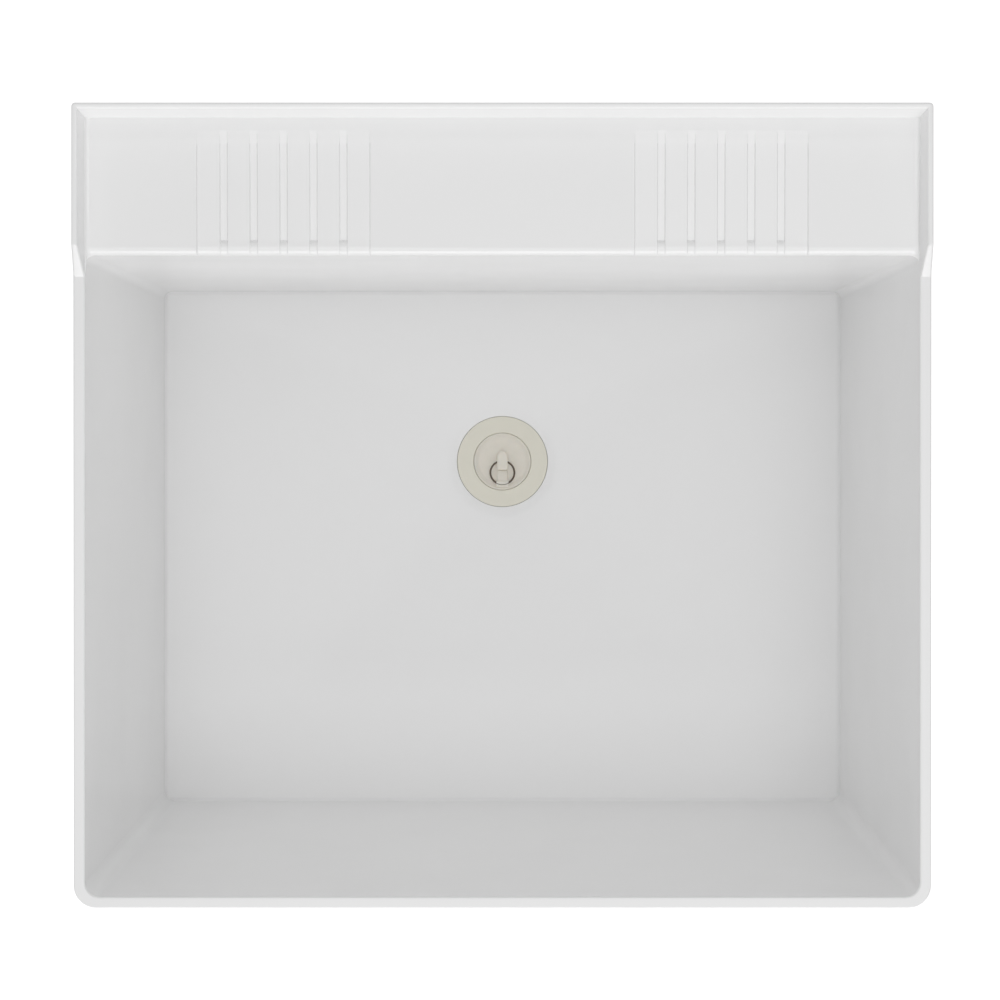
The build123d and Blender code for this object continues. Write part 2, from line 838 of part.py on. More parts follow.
os.makedirs("parts", exist_ok=True)
for node_name, shape in build_nodes().items():
    export_step(shape, os.path.join("parts", node_name + ".step"))
    print(node_name, len(shape.solids()), "solids, volume", round(shape.volume, 1))
print("ring tilt in degrees", round(ring_tilt, 2))
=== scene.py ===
import json
import math
from types import SimpleNamespace

import bmesh
import bpy
from bpy.props import FloatProperty, FloatVectorProperty, IntProperty, PointerProperty
from mathutils import Matrix, Vector


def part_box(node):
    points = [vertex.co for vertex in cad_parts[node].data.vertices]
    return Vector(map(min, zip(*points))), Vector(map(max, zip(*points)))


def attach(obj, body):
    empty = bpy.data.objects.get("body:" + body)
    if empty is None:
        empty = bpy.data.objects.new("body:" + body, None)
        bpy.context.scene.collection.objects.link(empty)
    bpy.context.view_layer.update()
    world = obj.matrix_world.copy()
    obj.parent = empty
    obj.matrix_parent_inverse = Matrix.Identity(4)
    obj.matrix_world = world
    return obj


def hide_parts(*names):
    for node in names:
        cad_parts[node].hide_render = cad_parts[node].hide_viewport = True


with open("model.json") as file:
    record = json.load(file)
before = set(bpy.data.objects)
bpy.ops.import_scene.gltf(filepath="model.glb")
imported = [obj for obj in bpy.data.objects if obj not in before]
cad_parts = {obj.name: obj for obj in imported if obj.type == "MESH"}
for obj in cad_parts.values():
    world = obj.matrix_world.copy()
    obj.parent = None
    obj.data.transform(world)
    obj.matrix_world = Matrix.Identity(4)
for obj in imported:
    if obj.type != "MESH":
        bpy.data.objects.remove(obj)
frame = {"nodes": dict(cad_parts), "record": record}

bl_info = {
    "name": "Laundry tub",
    "version": (1, 0, 0),
    "blender": (4, 5, 0),
    "location": "View3D > Sidebar > Laundry tub",
    "description": "Builds a moulded floor-standing laundry tub around its packed frame",
    "category": "Add Mesh",
}

# The frame: metres, +Z up, -Y the front, +Y the wall side, origin on the floor.
tub_low, tub_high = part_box("tub")
drain_low, drain_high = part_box("drain_body")
half_width = tub_high.x
front_y = tub_low.y
rear_y = tub_high.y
lip_top_z = tub_high.z
drain_y = (drain_low.y + drain_high.y) / 2
flange_top_z = drain_high.z
recess_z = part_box("drain_gasket")[0].z
boss_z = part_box("under_gasket")[1].z
leg_low, leg_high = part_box("leg_front_left")
rear_leg_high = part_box("leg_rear_left")[1]

# Closer together than this counts as one place
NEAR = 0.00002

# How far a cutting shape reaches past what it cuts
PAST = 0.01


def linear(code):
    """An sRGB hex code as a linear colour."""
    parts = [int(code[i:i + 2], 16) / 255 for i in (1, 3, 5)]
    return [c / 12.92 if c <= 0.04045 else ((c + 0.055) / 1.055) ** 2.4 for c in parts]


def length(name, description, default):
    """A size in metres that a user may change."""
    return FloatProperty(name=name, description=description, default=default, unit="LENGTH")


class TubSizes(bpy.types.PropertyGroup):
    """Sizes of the moulded tub."""

    lip_height: length("Lip height", "Rise of the raised lip above the rim", 0.020)
    lip_side_lean: length("Lip lean", "How far the side lips lean in at their tops", 0.002)
    lip_top_width: length("Lip top width", "Flat width of the lip's top", 0.0038)
    lip_end_y: length("Lip end", "Where the side lips start to ramp down, from the middle", 0.177)
    rim_band: length("Rim band", "Width of the rim at the front and sides", 0.0076)
    rim_skirt: length("Rim skirt", "Height of the rim's turned-down band", 0.026)
    front_corner: length("Front corners", "Radius of the rim's front corners", 0.0155)
    rear_corner: length("Rear corners", "Radius of the rear corners", 0.0025)
    edge_round: length("Edge rounding", "Radius along the rim and lip", 0.0012)
    lip_rear_round: length("Rear lip rounding", "Radius inside the top of the rear lip", 0.0020)
    deck_depth: length("Deck depth", "From the back of the tub to the bowl", 0.1013)
    deck_thickness: length("Deck thickness", "Wall of the deck plate", 0.0065)
    deck_roll: length("Deck roll", "Radius of the deck's front edge over the bowl", 0.0055)
    deck_side_cove: length("Side cove", "Radius between the deck and the side lips", 0.0018)
    deck_rear_cove: length("Rear cove", "Radius between the deck and the rear lip", 0.0003)
    bowl_depth: length("Bowl depth", "From the rim to the edge of the floor", 0.330)
    floor_fall: length("Floor fall", "How far the floor falls to the drain", 0.0102)
    side_draft: length("Side draft", "How far a side wall leans in", 0.0088)
    front_draft: length("Front draft", "How far the front wall leans in", 0.0145)
    rear_draft: length("Rear draft", "How far the rear wall leans in", 0.0070)
    bowl_corner: length("Bowl corners", "Radius of the bowl's upright corners", 0.010)
    floor_fillet: length("Floor fillet", "Radius around the bowl's floor", 0.003)
    wall: length("Wall", "Thickness of the bowl's walls", 0.0062)
    floor_wall: length("Floor thickness", "Thickness of the bowl's floor", 0.0065)
    recess_radius: length("Recess radius", "Outer radius of the dish round the drain", 0.0445)
    recess_floor: length("Recess floor", "Radius of the seat for the drain's flange", 0.0371)
    dish_depth: length("Dish depth", "Depth of the dish where it meets the seat", 0.0011)
    drain_hole: length("Drain hole", "Radius of the hole in the floor", 0.0286)
    rib_pitch: length("Rib spacing", "Distance between the ribs under the deck", 0.190)
    rib_thickness: length("Rib thickness", "Thickness of the ribs under the deck", 0.006)
    rib_height: length("Rib height", "Height of a rib at the bowl", 0.070)
    rib_rear_height: length("Rib rear height", "Height of a rib at the back", 0.012)
    lug_wall: length("Lug wall", "Thickness of the corner lugs that hold the legs", 0.008)
    lug_drop: length("Lug drop", "Height of the corner lugs", 0.062)
    lug_width: length("Lug width", "Width of a lug's flange", 0.046)
    ledge_spacing: length("Ledge spacing", "Distance between the two soap ledges", 0.2984)
    ledge_width: length("Ledge width", "Width of a soap ledge", 0.118)
    ledge_rear_y: length("Ledge rear", "Rear edge of a soap ledge, from the middle", 0.2575)
    ledge_step: length("Ledge step", "Depth of a ledge just inside its rear edge", 0.0005)
    ledge_drop: length("Ledge drop", "Depth of a ledge at the bowl", 0.0020)
    ledge_wall: length("Ledge wall", "Width in plan of a ledge's or a groove's sloped side", 0.0010)
    ledge_fade: length("Ledge fade", "Run over which a ledge or groove comes up to the deck", 0.009)
    groove_pitch: length("Groove spacing", "Distance between two drain grooves", 0.0204)
    groove_width: length("Groove width", "Width of a drain groove at half its depth", 0.0051)
    groove_rear_y: length("Groove rear", "Rear end of a drain groove, from the middle", 0.2565)
    groove_step: length("Groove step", "Depth of a groove just inside its rear end", 0.0009)
    groove_depth: length("Groove depth", "Depth of a groove where its notch starts", 0.0024)
    scupper_y: length("Scupper", "Where the deeper notch of a groove starts, from the middle", 0.182)
    scupper_depth: length("Scupper depth", "Depth of the notch below the ledge at its start", 0.0031)
    scupper_lip: length("Scupper lip", "Depth of the notch where it rolls over into the bowl", 0.0010)


class DrainSizes(bpy.types.PropertyGroup):
    """Sizes of the drain, its plug and the waste below it."""

    flange_radius: length("Flange radius", "Outer radius of the drain's flange", 0.0370)
    flange_height: length("Flange height", "Thickness of the drain's flange", 0.0030)
    flange_round: length("Flange rounding", "Radius around the flange's top edge", 0.0006)
    body_thread: length("Body thread", "Radius over the thread that takes the locknut", 0.0275)
    outlet_thread: length("Outlet thread", "Radius over the thread that takes the coupling nut", 0.0237)
    outlet_length: length("Outlet length", "Length of the outlet below the body", 0.0240)
    bore: length("Bore", "Radius of the outlet's bore", 0.0180)
    seat_radius: length("Seat radius", "Radius of the plug's seat at the flange's top", 0.0237)
    seat_low_radius: length("Seat foot", "Radius of the plug's seat at its foot", 0.0206)
    bar_width: length("Bar width", "Width of the bars across the drain", 0.0032)
    bar_height: length("Bar height", "Height of the bars across the drain", 0.0030)
    hub_radius: length("Hub radius", "Radius of the disc where the bars cross", 0.0051)
    thread_pitch: length("Thread pitch", "Pitch of the drain's moulded threads", 0.0022)
    thread_depth: length("Thread depth", "Depth of the drain's moulded threads", 0.0012)
    plug_gap: length("Plug gap", "Gap between the plug and its seat", 0.0004)
    dish_depth: length("Plug dish", "Depth of the plug's dished top", 0.0016)
    dish_radius: length("Plug dish radius", "Radius of the flat of the plug's dish", 0.0200)
    tab_width: length("Tab width", "Width of the plug's tab", 0.0086)
    tab_length: length("Tab length", "Length of the plug's tab", 0.0154)
    tab_shift: length("Tab shift", "How far the tab's middle lies behind its hole", 0.0009)
    tab_round: length("Tab rounding", "Radius over the tab's top", 0.0016)
    tab_hole: length("Tab hole", "Radius of the hole for the pull ring", 0.0017)
    tongue_length: length("Tongue length", "Length of the flat tongue before the tab", 0.0106)
    tongue_height: length("Tongue height", "Height of the tongue over the dish", 0.0014)
    fold_width: length("Fold width", "Width of the fold line between the tab and its tongue", 0.0006)
    clip_width: length("Clip width", "Width of the clip that holds the ring down", 0.0104)
    clip_length: length("Clip length", "Length of the clip across the wire", 0.0048)
    wire_radius: length("Wire radius", "Radius of the pull ring's wire", 0.00075)
    ring_radius: length("Ring radius", "Outer radius of the pull ring", 0.0106)
    nut_lug_width: length("Nut lug width", "Width of a grip lug on the plastic nuts", 0.0090)
    tube_radius: length("Tube radius", "Outer radius of the tailpiece", 0.01905)
    tube_bore: length("Tube bore", "Inner radius of the tailpiece", 0.01745)


class LegSizes(bpy.types.PropertyGroup):
    """Sizes of the legs, their fasteners and the levelling feet."""

    metal: length("Leg metal", "Thickness of the pressed steel", 0.0020)
    bend: length("Leg bend", "Outer radius of the leg's bend", 0.0040)
    flange: length("Leg flange", "Width of a leg's flange at the lug", 0.0440)
    foot_flange: length("Foot flange", "Width of a leg's flange at the floor", 0.0300)
    taper_drop: length("Taper drop", "From the leg's top to where it starts to taper", 0.0760)
    plate: length("Foot plate", "Side of the square foot plate", 0.0290)
    plate_metal: length("Plate metal", "Thickness of the foot plate", 0.0025)
    plate_chamfer: length("Plate chamfer", "Cut across the plate's inner corner", 0.0110)
    plate_hole: length("Plate hole", "Radius of the hole for the levelling stud", 0.00496)
    bolt_hole: length("Bolt hole", "Radius of a bolt hole", 0.0043)
    bolt_flats: length("Bolt flats", "Width across the flats of a bolt head or nut", 0.0130)
    bolt_head: length("Bolt head", "Height of a bolt head", 0.0053)
    bolt_radius: length("Bolt radius", "Radius over a bolt's thread", 0.0039)
    bolt_pitch: length("Bolt pitch", "Pitch of a bolt's thread", 0.00125)
    stud_radius: length("Stud radius", "Radius over a levelling stud's thread", 0.0049)
    stud_pitch: length("Stud pitch", "Pitch of a levelling stud's thread", 0.0015)
    stud_flats: length("Stud flats", "Width across the flats of a stud's collar", 0.0140)
    nut_flats: length("Nut flats", "Width across the flats of the nuts on the studs", 0.0170)
    pad_radius: length("Pad radius", "Radius of a foot pad", 0.0170)
    pad_edge: length("Pad edge", "Height of a foot pad's upright edge", 0.0040)
    pad_neck: length("Pad neck", "Radius of a foot pad's top", 0.0110)
    pad_socket: length("Pad socket", "Radius of the socket that the stud turns in", 0.00406)


def tint(name, description, code):
    """A colour, given as an sRGB hex code, that a user may change."""
    return FloatVectorProperty(
        name=name, description=description, default=linear(code), subtype="COLOR", size=3, min=0, max=1
    )


class TubFinishes(bpy.types.PropertyGroup):
    """Colours of the materials."""

    composite: tint("Composite", "Moulded tub", "#F8F8F8")
    drain_resin: tint("Drain resin", "Drain body and its locknut", "#EAE7D9")
    vinyl: tint("Vinyl", "Stopper", "#ECE7DC")
    wire: tint("Wire", "Pull ring", "#6A6057")
    rubber: tint("Rubber", "Gaskets", "#26262A")
    fibre: tint("Fibre", "Friction ring", "#B79A6E")
    pipe_resin: tint("Pipe resin", "Tailpiece and coupling nut", "#E3E3DF")
    washer_resin: tint("Washer resin", "Tailpiece washer", "#D8D6CE")
    zinc: tint("Zinc", "Bolts, nuts and studs", "#B9BCBF")
    enamel: tint("Enamel", "Legs", "#E4E5E4")
    pad_resin: tint("Pad resin", "Foot pads", "#55585B")


def add_node(tree, kind, settings=None, links=None):
    """Add a node with its settings, its socket values and the links that feed it."""
    node = tree.nodes.new(kind)
    for name, value in (settings or {}).items():
        if hasattr(node, str(name)):
            setattr(node, name, value)
        else:
            node.inputs[name].default_value = value
    for name, source in (links or {}).items():
        tree.links.new(source, node.inputs[name])
    return node


def new_material(name, colour, **settings):
    """A principled material with its plain values set on the shader's own sockets."""
    material = bpy.data.materials.new(name)
    material.use_nodes = True
    shader = material.node_tree.nodes["Principled BSDF"]
    shader.inputs["Base Color"].default_value = (*colour, 1)
    for socket, value in settings.items():
        shader.inputs[socket.replace("_", " ")].default_value = value
    return material, material.node_tree, shader


def finish(name, colour, share, patterns, gloss, relief, **settings):
    """A material that varies by noise laid on Object coordinates.

    Each pattern is the width of its lumps in metres, its detail and its stretch along Z. The first pattern
    varies the colour by a share either way. The gloss is a pattern's number and the lowest and highest
    roughness that it gives. The relief is the depth in metres of each pattern that shows as a bump.
    """
    material, tree, shader = new_material(name, colour, **settings)
    place = add_node(tree, "ShaderNodeTexCoord").outputs["Object"]
    noises = []
    for size, detail, stretch in patterns:
        laid = place
        if stretch != 1:
            mapping = add_node(tree, "ShaderNodeMapping", {"Scale": (1, 1, stretch)}, {"Vector": place})
            laid = mapping.outputs[0]
        noise = add_node(
            tree, "ShaderNodeTexNoise", {"Scale": 0.5 / size, "Detail": detail}, {"Vector": laid}
        )
        noises.append(noise.outputs["Fac"])

    ramp = add_node(tree, "ShaderNodeValToRGB", {}, {"Fac": noises[0]})
    for stop, change in zip(ramp.color_ramp.elements, (-share, share)):
        stop.color = (*[min(1, c * (1 + change)) for c in colour], 1)
    tree.links.new(ramp.outputs["Color"], shader.inputs["Base Color"])
    if gloss:
        number, low, high = gloss
        spread = add_node(
            tree, "ShaderNodeMapRange", {"To Min": low, "To Max": high}, {"Value": noises[number]}
        )
        tree.links.new(spread.outputs["Result"], shader.inputs["Roughness"])
    links = {}
    for number, depth in relief.items():
        links["Height"] = noises[number]
        bump = add_node(tree, "ShaderNodeBump", {"Strength": 1.0, "Distance": depth}, links)
        links["Normal"] = bump.outputs["Normal"]
    tree.links.new(links["Normal"], shader.inputs["Normal"])
    return material


def moulded_resin(name, colour, roughness, pit):
    """Injection-moulded resin: semi-gloss with a fine spark-eroded grain of a given depth."""
    return finish(
        name, colour, 0.02, [(0.008, 2, 1), (0.0004, 1, 1)],
        (1, roughness - 0.05, roughness + 0.08), {1: pit}, Roughness=roughness, IOR=1.49,
    )


def make_finishes():
    """Every material by the record's slot that it stands for."""
    colours = bpy.context.scene.laundry_finishes
    return {
        # White moulded composite: an even satin gloss over a barely wavy skin
        "tub_white": finish(
            "moulded_composite", colours.composite, 0.012, [(0.06, 2, 1), (0.0025, 1, 1)],
            (0, 0.21, 0.28), {1: 0.00002}, Roughness=0.25, IOR=1.5,
        ),
        "drain_cream": moulded_resin("moulded_drain_resin", colours.drain_resin, 0.32, 0.00001),
        # Black moulded rubber: dull, with a powdery bloom
        "gasket_rubber": finish(
            "moulded_rubber", colours.rubber, 0.35, [(0.005, 4, 1), (0.0004, 2, 1)],
            None, {1: 0.00003}, Roughness=0.75, IOR=1.52,
        ),
        # Tan pressed fibre: matt, flecked and slightly felted
        "fibre": finish(
            "pressed_fibre", colours.fibre, 0.25, [(0.0008, 5, 4)], None, {0: 0.00008}, Roughness=0.9,
        ),
        "pipe_white": moulded_resin("polypropylene_pipe", colours.pipe_resin, 0.35, 0.00001),
        "washer_plastic": moulded_resin("polythene_washer", colours.washer_resin, 0.5, 0.00002),
        # Soft vinyl: waxy and a little see-through at its edges, with faint mottling
        "stopper_vinyl": finish(
            "soft_vinyl", colours.vinyl, 0.035, [(0.004, 3, 1), (0.0005, 1, 1)],
            None, {0: 0.00005, 1: 0.000008}, Roughness=0.42, IOR=1.53,
            Subsurface_Weight=0.25, Subsurface_Scale=0.004, Subsurface_Radius=(1.0, 0.8, 0.6),
        ),
        # Drawn steel wire with fine draw marks: the brown hue is its own, and the dark base colour is
        # painted dark reflection of its surroundings
        "ring_steel": finish(
            "drawn_steel_wire", colours.wire, 0.3, [(0.002, 4, 1), (0.0003, 2, 1)],
            (0, 0.26, 0.46), {1: 0.00001}, Metallic=1.0, Roughness=0.34,
        ),
        # Bright zinc plate: cool, faintly cloudy steel with fine tool marks
        "zinc_steel": finish(
            "zinc_plated_steel", colours.zinc, 0.12, [(0.003, 4, 1), (0.0004, 2, 6)],
            (0, 0.24, 0.42), {1: 0.00001}, Metallic=1.0, Roughness=0.3,
        ),
        # White baked enamel on steel: glossy, with a soft orange peel
        "leg_enamel": finish(
            "baked_enamel", colours.enamel, 0.015, [(0.03, 2, 1), (0.0018, 2, 1)],
            (0, 0.26, 0.36), {1: 0.00004}, Roughness=0.3, IOR=1.5,
        ),
        "pad_grey": moulded_resin("moulded_pad_resin", colours.pad_resin, 0.6, 0.00004),
    }


def dress(piece, slot):
    """Give a piece the finish of a record slot."""
    if not finishes:
        finishes.update(make_finishes())
    piece.data.materials.clear()
    piece.data.materials.append(finishes[slot])


finishes = {}


def settle():
    """Back to object mode with nothing selected."""
    if bpy.context.object and bpy.context.object.mode != "OBJECT":
        bpy.ops.object.mode_set(mode="OBJECT")
    bpy.ops.object.select_all(action="DESELECT")


def take(piece):
    """Make a piece the only selected and the active one."""
    settle()
    bpy.context.view_layer.objects.active = piece
    piece.select_set(True)
    return piece


def edit(piece, mode="EDGE"):
    """Open a piece in edit mode with nothing selected."""
    take(piece)
    bpy.ops.object.mode_set(mode="EDIT")
    bpy.ops.mesh.select_mode(type=mode)
    bpy.ops.mesh.select_all(action="DESELECT")


def pick(kind, test):
    """In edit mode, select the vertices, edges or faces that pass a test, and count them."""
    mesh = bpy.context.object.data
    form = bmesh.from_edit_mesh(mesh)
    bpy.ops.mesh.select_all(action="DESELECT")
    count = 0
    for item in getattr(form, kind):
        if test(item):
            item.select_set(True)
            count += 1
    form.select_flush_mode()
    bmesh.update_edit_mesh(mesh)
    if not count:
        raise RuntimeError(f"nothing to select among the {kind} of {bpy.context.object.name}")
    return count


def ends(edge):
    """The two end points of an edge."""
    return edge.verts[0].co, edge.verts[1].co


def at(value, wanted, slack=NEAR):
    """Whether a value is as good as the wanted one."""
    return abs(value - wanted) < slack


def on(**places):
    """A test for edges with both ends at the given coordinates."""
    def test(edge):
        return all(at(getattr(p, axis), value) for p in ends(edge) for axis, value in places.items())

    return test


def upright(edge):
    """Whether both ends of an edge stand on one point in plan."""
    a, b = ends(edge)
    return at(a.x, b.x) and at(a.y, b.y)


def bevel(test, width, segments, **settings):
    """In edit mode, round the edges that pass a test."""
    pick("edges", test)
    bpy.ops.mesh.bevel(offset=width, segments=segments, affect="EDGES", **settings)


def extrude(x, y, z):
    """In edit mode, extrude what is selected by a move."""
    bpy.ops.mesh.extrude_region_move(TRANSFORM_OT_translate={"value": (x, y, z)})


def shift(test, x, y, z):
    """In edit mode, move the points that pass a test."""
    pick("verts", test)
    bpy.ops.transform.translate(value=(x, y, z))


def pick_all():
    """In edit mode, select everything."""
    bpy.ops.mesh.select_all(action="SELECT")


def close_up(doubles=0):
    """In edit mode, merge points nearer than a distance, turn all faces outwards and leave the mode."""
    pick_all()
    if doubles:
        bpy.ops.mesh.remove_doubles(threshold=doubles)
    bpy.ops.mesh.normals_make_consistent(inside=False)
    settle()


def fixed(name):
    """The active piece under a new name, with its place put into its mesh."""
    bpy.ops.object.transform_apply(location=True, rotation=True, scale=True)
    bpy.context.object.name = name
    return bpy.context.object


def block(name, corner, opposite, *rounds):
    """A box between two opposite corners, rounded by each (test of edges, width, segments)."""
    settle()
    low = Vector([min(pair) for pair in zip(corner, opposite)])
    high = Vector([max(pair) for pair in zip(corner, opposite)])
    bpy.ops.mesh.primitive_cube_add(size=1, location=(low + high) / 2, scale=high - low)
    piece = fixed(name)
    if rounds:
        edit(piece)
        for rounding in rounds:
            bevel(*rounding)
        settle()
    return piece


def fit_selection(half_x, low_y, high_y):
    """Scale and shift the selected vertices to a new rectangle in plan."""
    form = bmesh.from_edit_mesh(bpy.context.object.data)
    xs = [v.co.x for v in form.verts if v.select]
    ys = [v.co.y for v in form.verts if v.select]
    centre = (0, (min(ys) + max(ys)) / 2, 0)
    scale = (2 * half_x / (max(xs) - min(xs)), (high_y - low_y) / (max(ys) - min(ys)), 1)
    bpy.ops.transform.resize(value=scale, center_override=centre)
    bpy.ops.transform.translate(value=(0, (low_y + high_y) / 2 - centre[1], 0))


def modify(piece, kind, **settings):
    """Add a modifier to a piece and apply it."""
    take(piece)
    bpy.ops.object.modifier_add(type=kind)
    modifier = piece.modifiers[-1]
    for name, value in settings.items():
        setattr(modifier, name, value)
    bpy.ops.object.modifier_apply(modifier=modifier.name)


def combine(target, tool, operation):
    """Join a tool piece to the target, or cut it away, and use the tool up."""
    modify(target, "BOOLEAN", operation=operation, solver="EXACT", object=tool)
    discard(tool)
    take(target)


def round_by_weight(piece, width, segments, rule):
    """Round edges by a Bevel modifier, each by its own share of the width."""
    take(piece)
    form = bmesh.new()
    form.from_mesh(piece.data)
    layers = form.edges.layers.float
    layer = layers.get("bevel_weight_edge") or layers.new("bevel_weight_edge")
    for edge in form.edges:
        edge[layer] = rule(edge) / width
    form.to_mesh(piece.data)
    form.free()
    modify(piece, "BEVEL", limit_method="WEIGHT", width=width, segments=segments, use_clamp_overlap=False)


def tub_levels(s):
    """Heights and plan edges that follow from the tub's sizes."""
    rim = lip_top_z - s.lip_height
    floor = rim - s.bowl_depth
    open_x = half_width - s.rim_band
    open_front = front_y + s.rim_band
    open_rear = rear_y - s.deck_depth
    return SimpleNamespace(
        rim=rim,
        skirt=rim - s.rim_skirt,
        under_deck=rim - s.deck_thickness,
        ramp=s.lip_end_y - s.lip_height,
        open_x=open_x,
        open_front=open_front,
        open_rear=open_rear,
        tray_rear=rear_y - s.rim_band,
        floor=floor,
        floor_x=open_x - s.side_draft,
        floor_front=open_front + s.front_draft,
        floor_rear=open_rear - s.rear_draft,
        recess_top=floor - s.floor_fall,
        under=floor - s.floor_wall,
    )


def bowl_and_tray_air(s, t):
    """The space inside the bowl and the deck tray, and above the rim, as one solid."""
    headroom = 0.043
    over = s.lip_height + headroom
    beyond = 5 * PAST
    air = block("air", (-t.open_x, t.open_front, t.floor), (t.open_x, t.open_rear, t.rim))
    edit(air, "FACE")

    def above(face):
        return face.calc_center_median().z > t.rim + NEAR

    pick("faces", lambda f: f.normal.z < -0.9)
    fit_selection(t.floor_x, t.floor_front, t.floor_rear)
    pick("faces", lambda f: f.normal.z > 0.9)
    extrude(0, 0, over)
    pick("faces", lambda f: f.normal.y > 0.9 and above(f))
    extrude(0, t.tray_rear - t.open_rear, 0)

    # Lip faces lean outwards as they rise
    rise = (s.rim_band - s.lip_side_lean - s.lip_top_width) / s.lip_height * over
    back = (s.rim_band - s.lip_top_width) / s.lip_height * over
    for side in (-1, 1):
        shift(lambda v: at(v.co.z, t.rim + over) and at(v.co.x, side * t.open_x), side * rise, 0, 0)
    shift(lambda v: at(v.co.z, t.rim + over) and at(v.co.y, t.tray_rear), 0, back, 0)

    # Ramps at the front ends of the side lips, and the open space before them
    pick("faces", lambda f: abs(f.normal.x) > 0.9 and above(f))
    bpy.ops.mesh.bisect(plane_co=(0, t.ramp, t.rim), plane_no=(0, 1, -1))
    for side in (-1, 1):
        pick("faces", lambda f: f.normal.x * side > 0.9 and above(f)
             and f.calc_center_median().y - t.ramp < f.calc_center_median().z - t.rim)
        extrude(side * beyond, 0, 0)
    pick("faces", lambda f: f.normal.y < -0.9 and above(f))
    extrude(0, -beyond, 0)
    settle()
    return air


def roll_and_coves(s, t, air):
    """Round the deck's front edge, the bowl's corners, its floor and the deck's coves."""
    edit(air)
    pick_all()
    bpy.ops.mesh.dissolve_limited(angle_limit=math.radians(0.5))
    bevel(on(y=t.open_rear, z=t.rim), s.deck_roll, 6, clamp_overlap=False)
    settle()

    def radius(edge):
        a, b = ends(edge)
        on_side = min(abs(a.x), abs(b.x)) > t.floor_x - NEAR and a.x * b.x > 0
        low, high = min(a.z, b.z), max(a.z, b.z)
        if at(high, t.floor):
            return s.floor_fillet
        if at(low, t.floor):
            return s.bowl_corner
        if not (on_side or at(low, t.rim)):
            return 0
        behind = min(a.y, b.y) > t.open_rear - s.rear_draft
        if on_side and behind and edge.is_manifold and edge.calc_face_angle() > 1:
            if at(low, t.rim) and at(high, t.rim):
                return s.deck_side_cove
            down = (t.rim - (a.z + b.z) / 2) / s.deck_roll
            cove = s.deck_side_cove + (s.bowl_corner - s.deck_side_cove) * min(1, down)
            return 0 if high > t.rim + NEAR else cove
        at_lip = at(a.y, t.tray_rear) and at(b.y, t.tray_rear) and at(high, t.rim)
        return s.deck_rear_cove if at_lip else 0

    round_by_weight(air, s.bowl_corner, 5, radius)
    return air


def drain_floor(s, t, air):
    """Slope the bowl's floor down to the drain, with its recess and the hole below."""
    per_side = 15
    edit(air, "FACE")
    pick("faces", lambda f: f.normal.z < -0.99 and at(f.calc_center_median().z, t.floor, 0.0005)
         and f.calc_area() > 0.1)
    bpy.ops.mesh.delete(type="ONLY_FACE")
    bpy.ops.mesh.select_mode(type="EDGE")
    pick("edges", lambda e: e.is_boundary and e.calc_length() > 0.1)
    bpy.ops.mesh.subdivide(number_cuts=per_side)
    around = pick("edges", lambda e: e.is_boundary)
    settle()

    bpy.ops.mesh.primitive_circle_add(
        vertices=around, radius=s.recess_radius, location=(0, drain_y, t.recess_top)
    )
    air = joined([air, fixed("ring")])
    edit(air)
    pick("edges", lambda e: e.is_boundary or e.is_wire)
    bpy.ops.mesh.bridge_edge_loops(number_cuts=5, interpolation="LINEAR")

    def ring_at(radius, z):
        return lambda e: all(
            at(p.z, z) and at(math.hypot(p.x, p.y - drain_y), radius, 0.0001) for p in ends(e)
        )

    # Dish, seat wall, seat and hole, each drawn from the ring before it
    draft = 0.0002
    roundings = (0.0020, 0.0003, 0.0006, 0.0005)
    rings = [
        (s.recess_radius, t.recess_top),
        (s.recess_floor + draft, t.recess_top - s.dish_depth),
        (s.recess_floor, recess_z),
        (s.drain_hole, recess_z),
        (s.drain_hole, recess_z - 3 * PAST),
    ]
    for (radius, z), (next_radius, next_z) in zip(rings, rings[1:]):
        pick("edges", ring_at(radius, z))
        extrude(0, 0, next_z - z)
        share = next_radius / radius
        bpy.ops.transform.resize(value=(share, share, 1), center_override=(0, drain_y, 0))
    bpy.ops.mesh.edge_face_add()
    for ring, rounding in zip(rings, roundings):
        bevel(ring_at(*ring), rounding, 3)
    pick_all()
    bpy.ops.mesh.dissolve_degenerate(threshold=0.00001)
    close_up()
    return air


def rim_block(s, t):
    """The solid that the rim, deck and lip are cut from, hollow under the deck."""
    body = block(
        "rim", (-half_width, front_y, t.skirt), (half_width, rear_y, lip_top_z),
        (lambda e: upright(e) and ends(e)[0].y < 0, s.front_corner, 8),
        (lambda e: upright(e) and ends(e)[0].y > 0, s.rear_corner, 4),
    )
    edit(body)
    pick_all()
    bpy.ops.mesh.bisect(plane_co=(0, 0, t.rim), plane_no=(0, 0, 1))
    pick("verts", lambda v: at(v.co.z, lip_top_z))
    lean = (half_width - s.lip_side_lean) / half_width
    bpy.ops.transform.resize(value=(lean, 1, 1), center_override=(0, 0, 0))
    bpy.ops.mesh.select_mode(type="EDGE")
    bevel(on(z=t.skirt), s.edge_round, 3)
    fillet = 0.003
    hollow = block(
        "hollow", (-t.open_x, t.open_front, t.skirt - 2 * PAST), (t.open_x, t.tray_rear, t.under_deck),
        (lambda e: max(p.z for p in ends(e)) > t.under_deck - NEAR, fillet, 3),
    )
    combine(body, hollow, "DIFFERENCE")
    return body


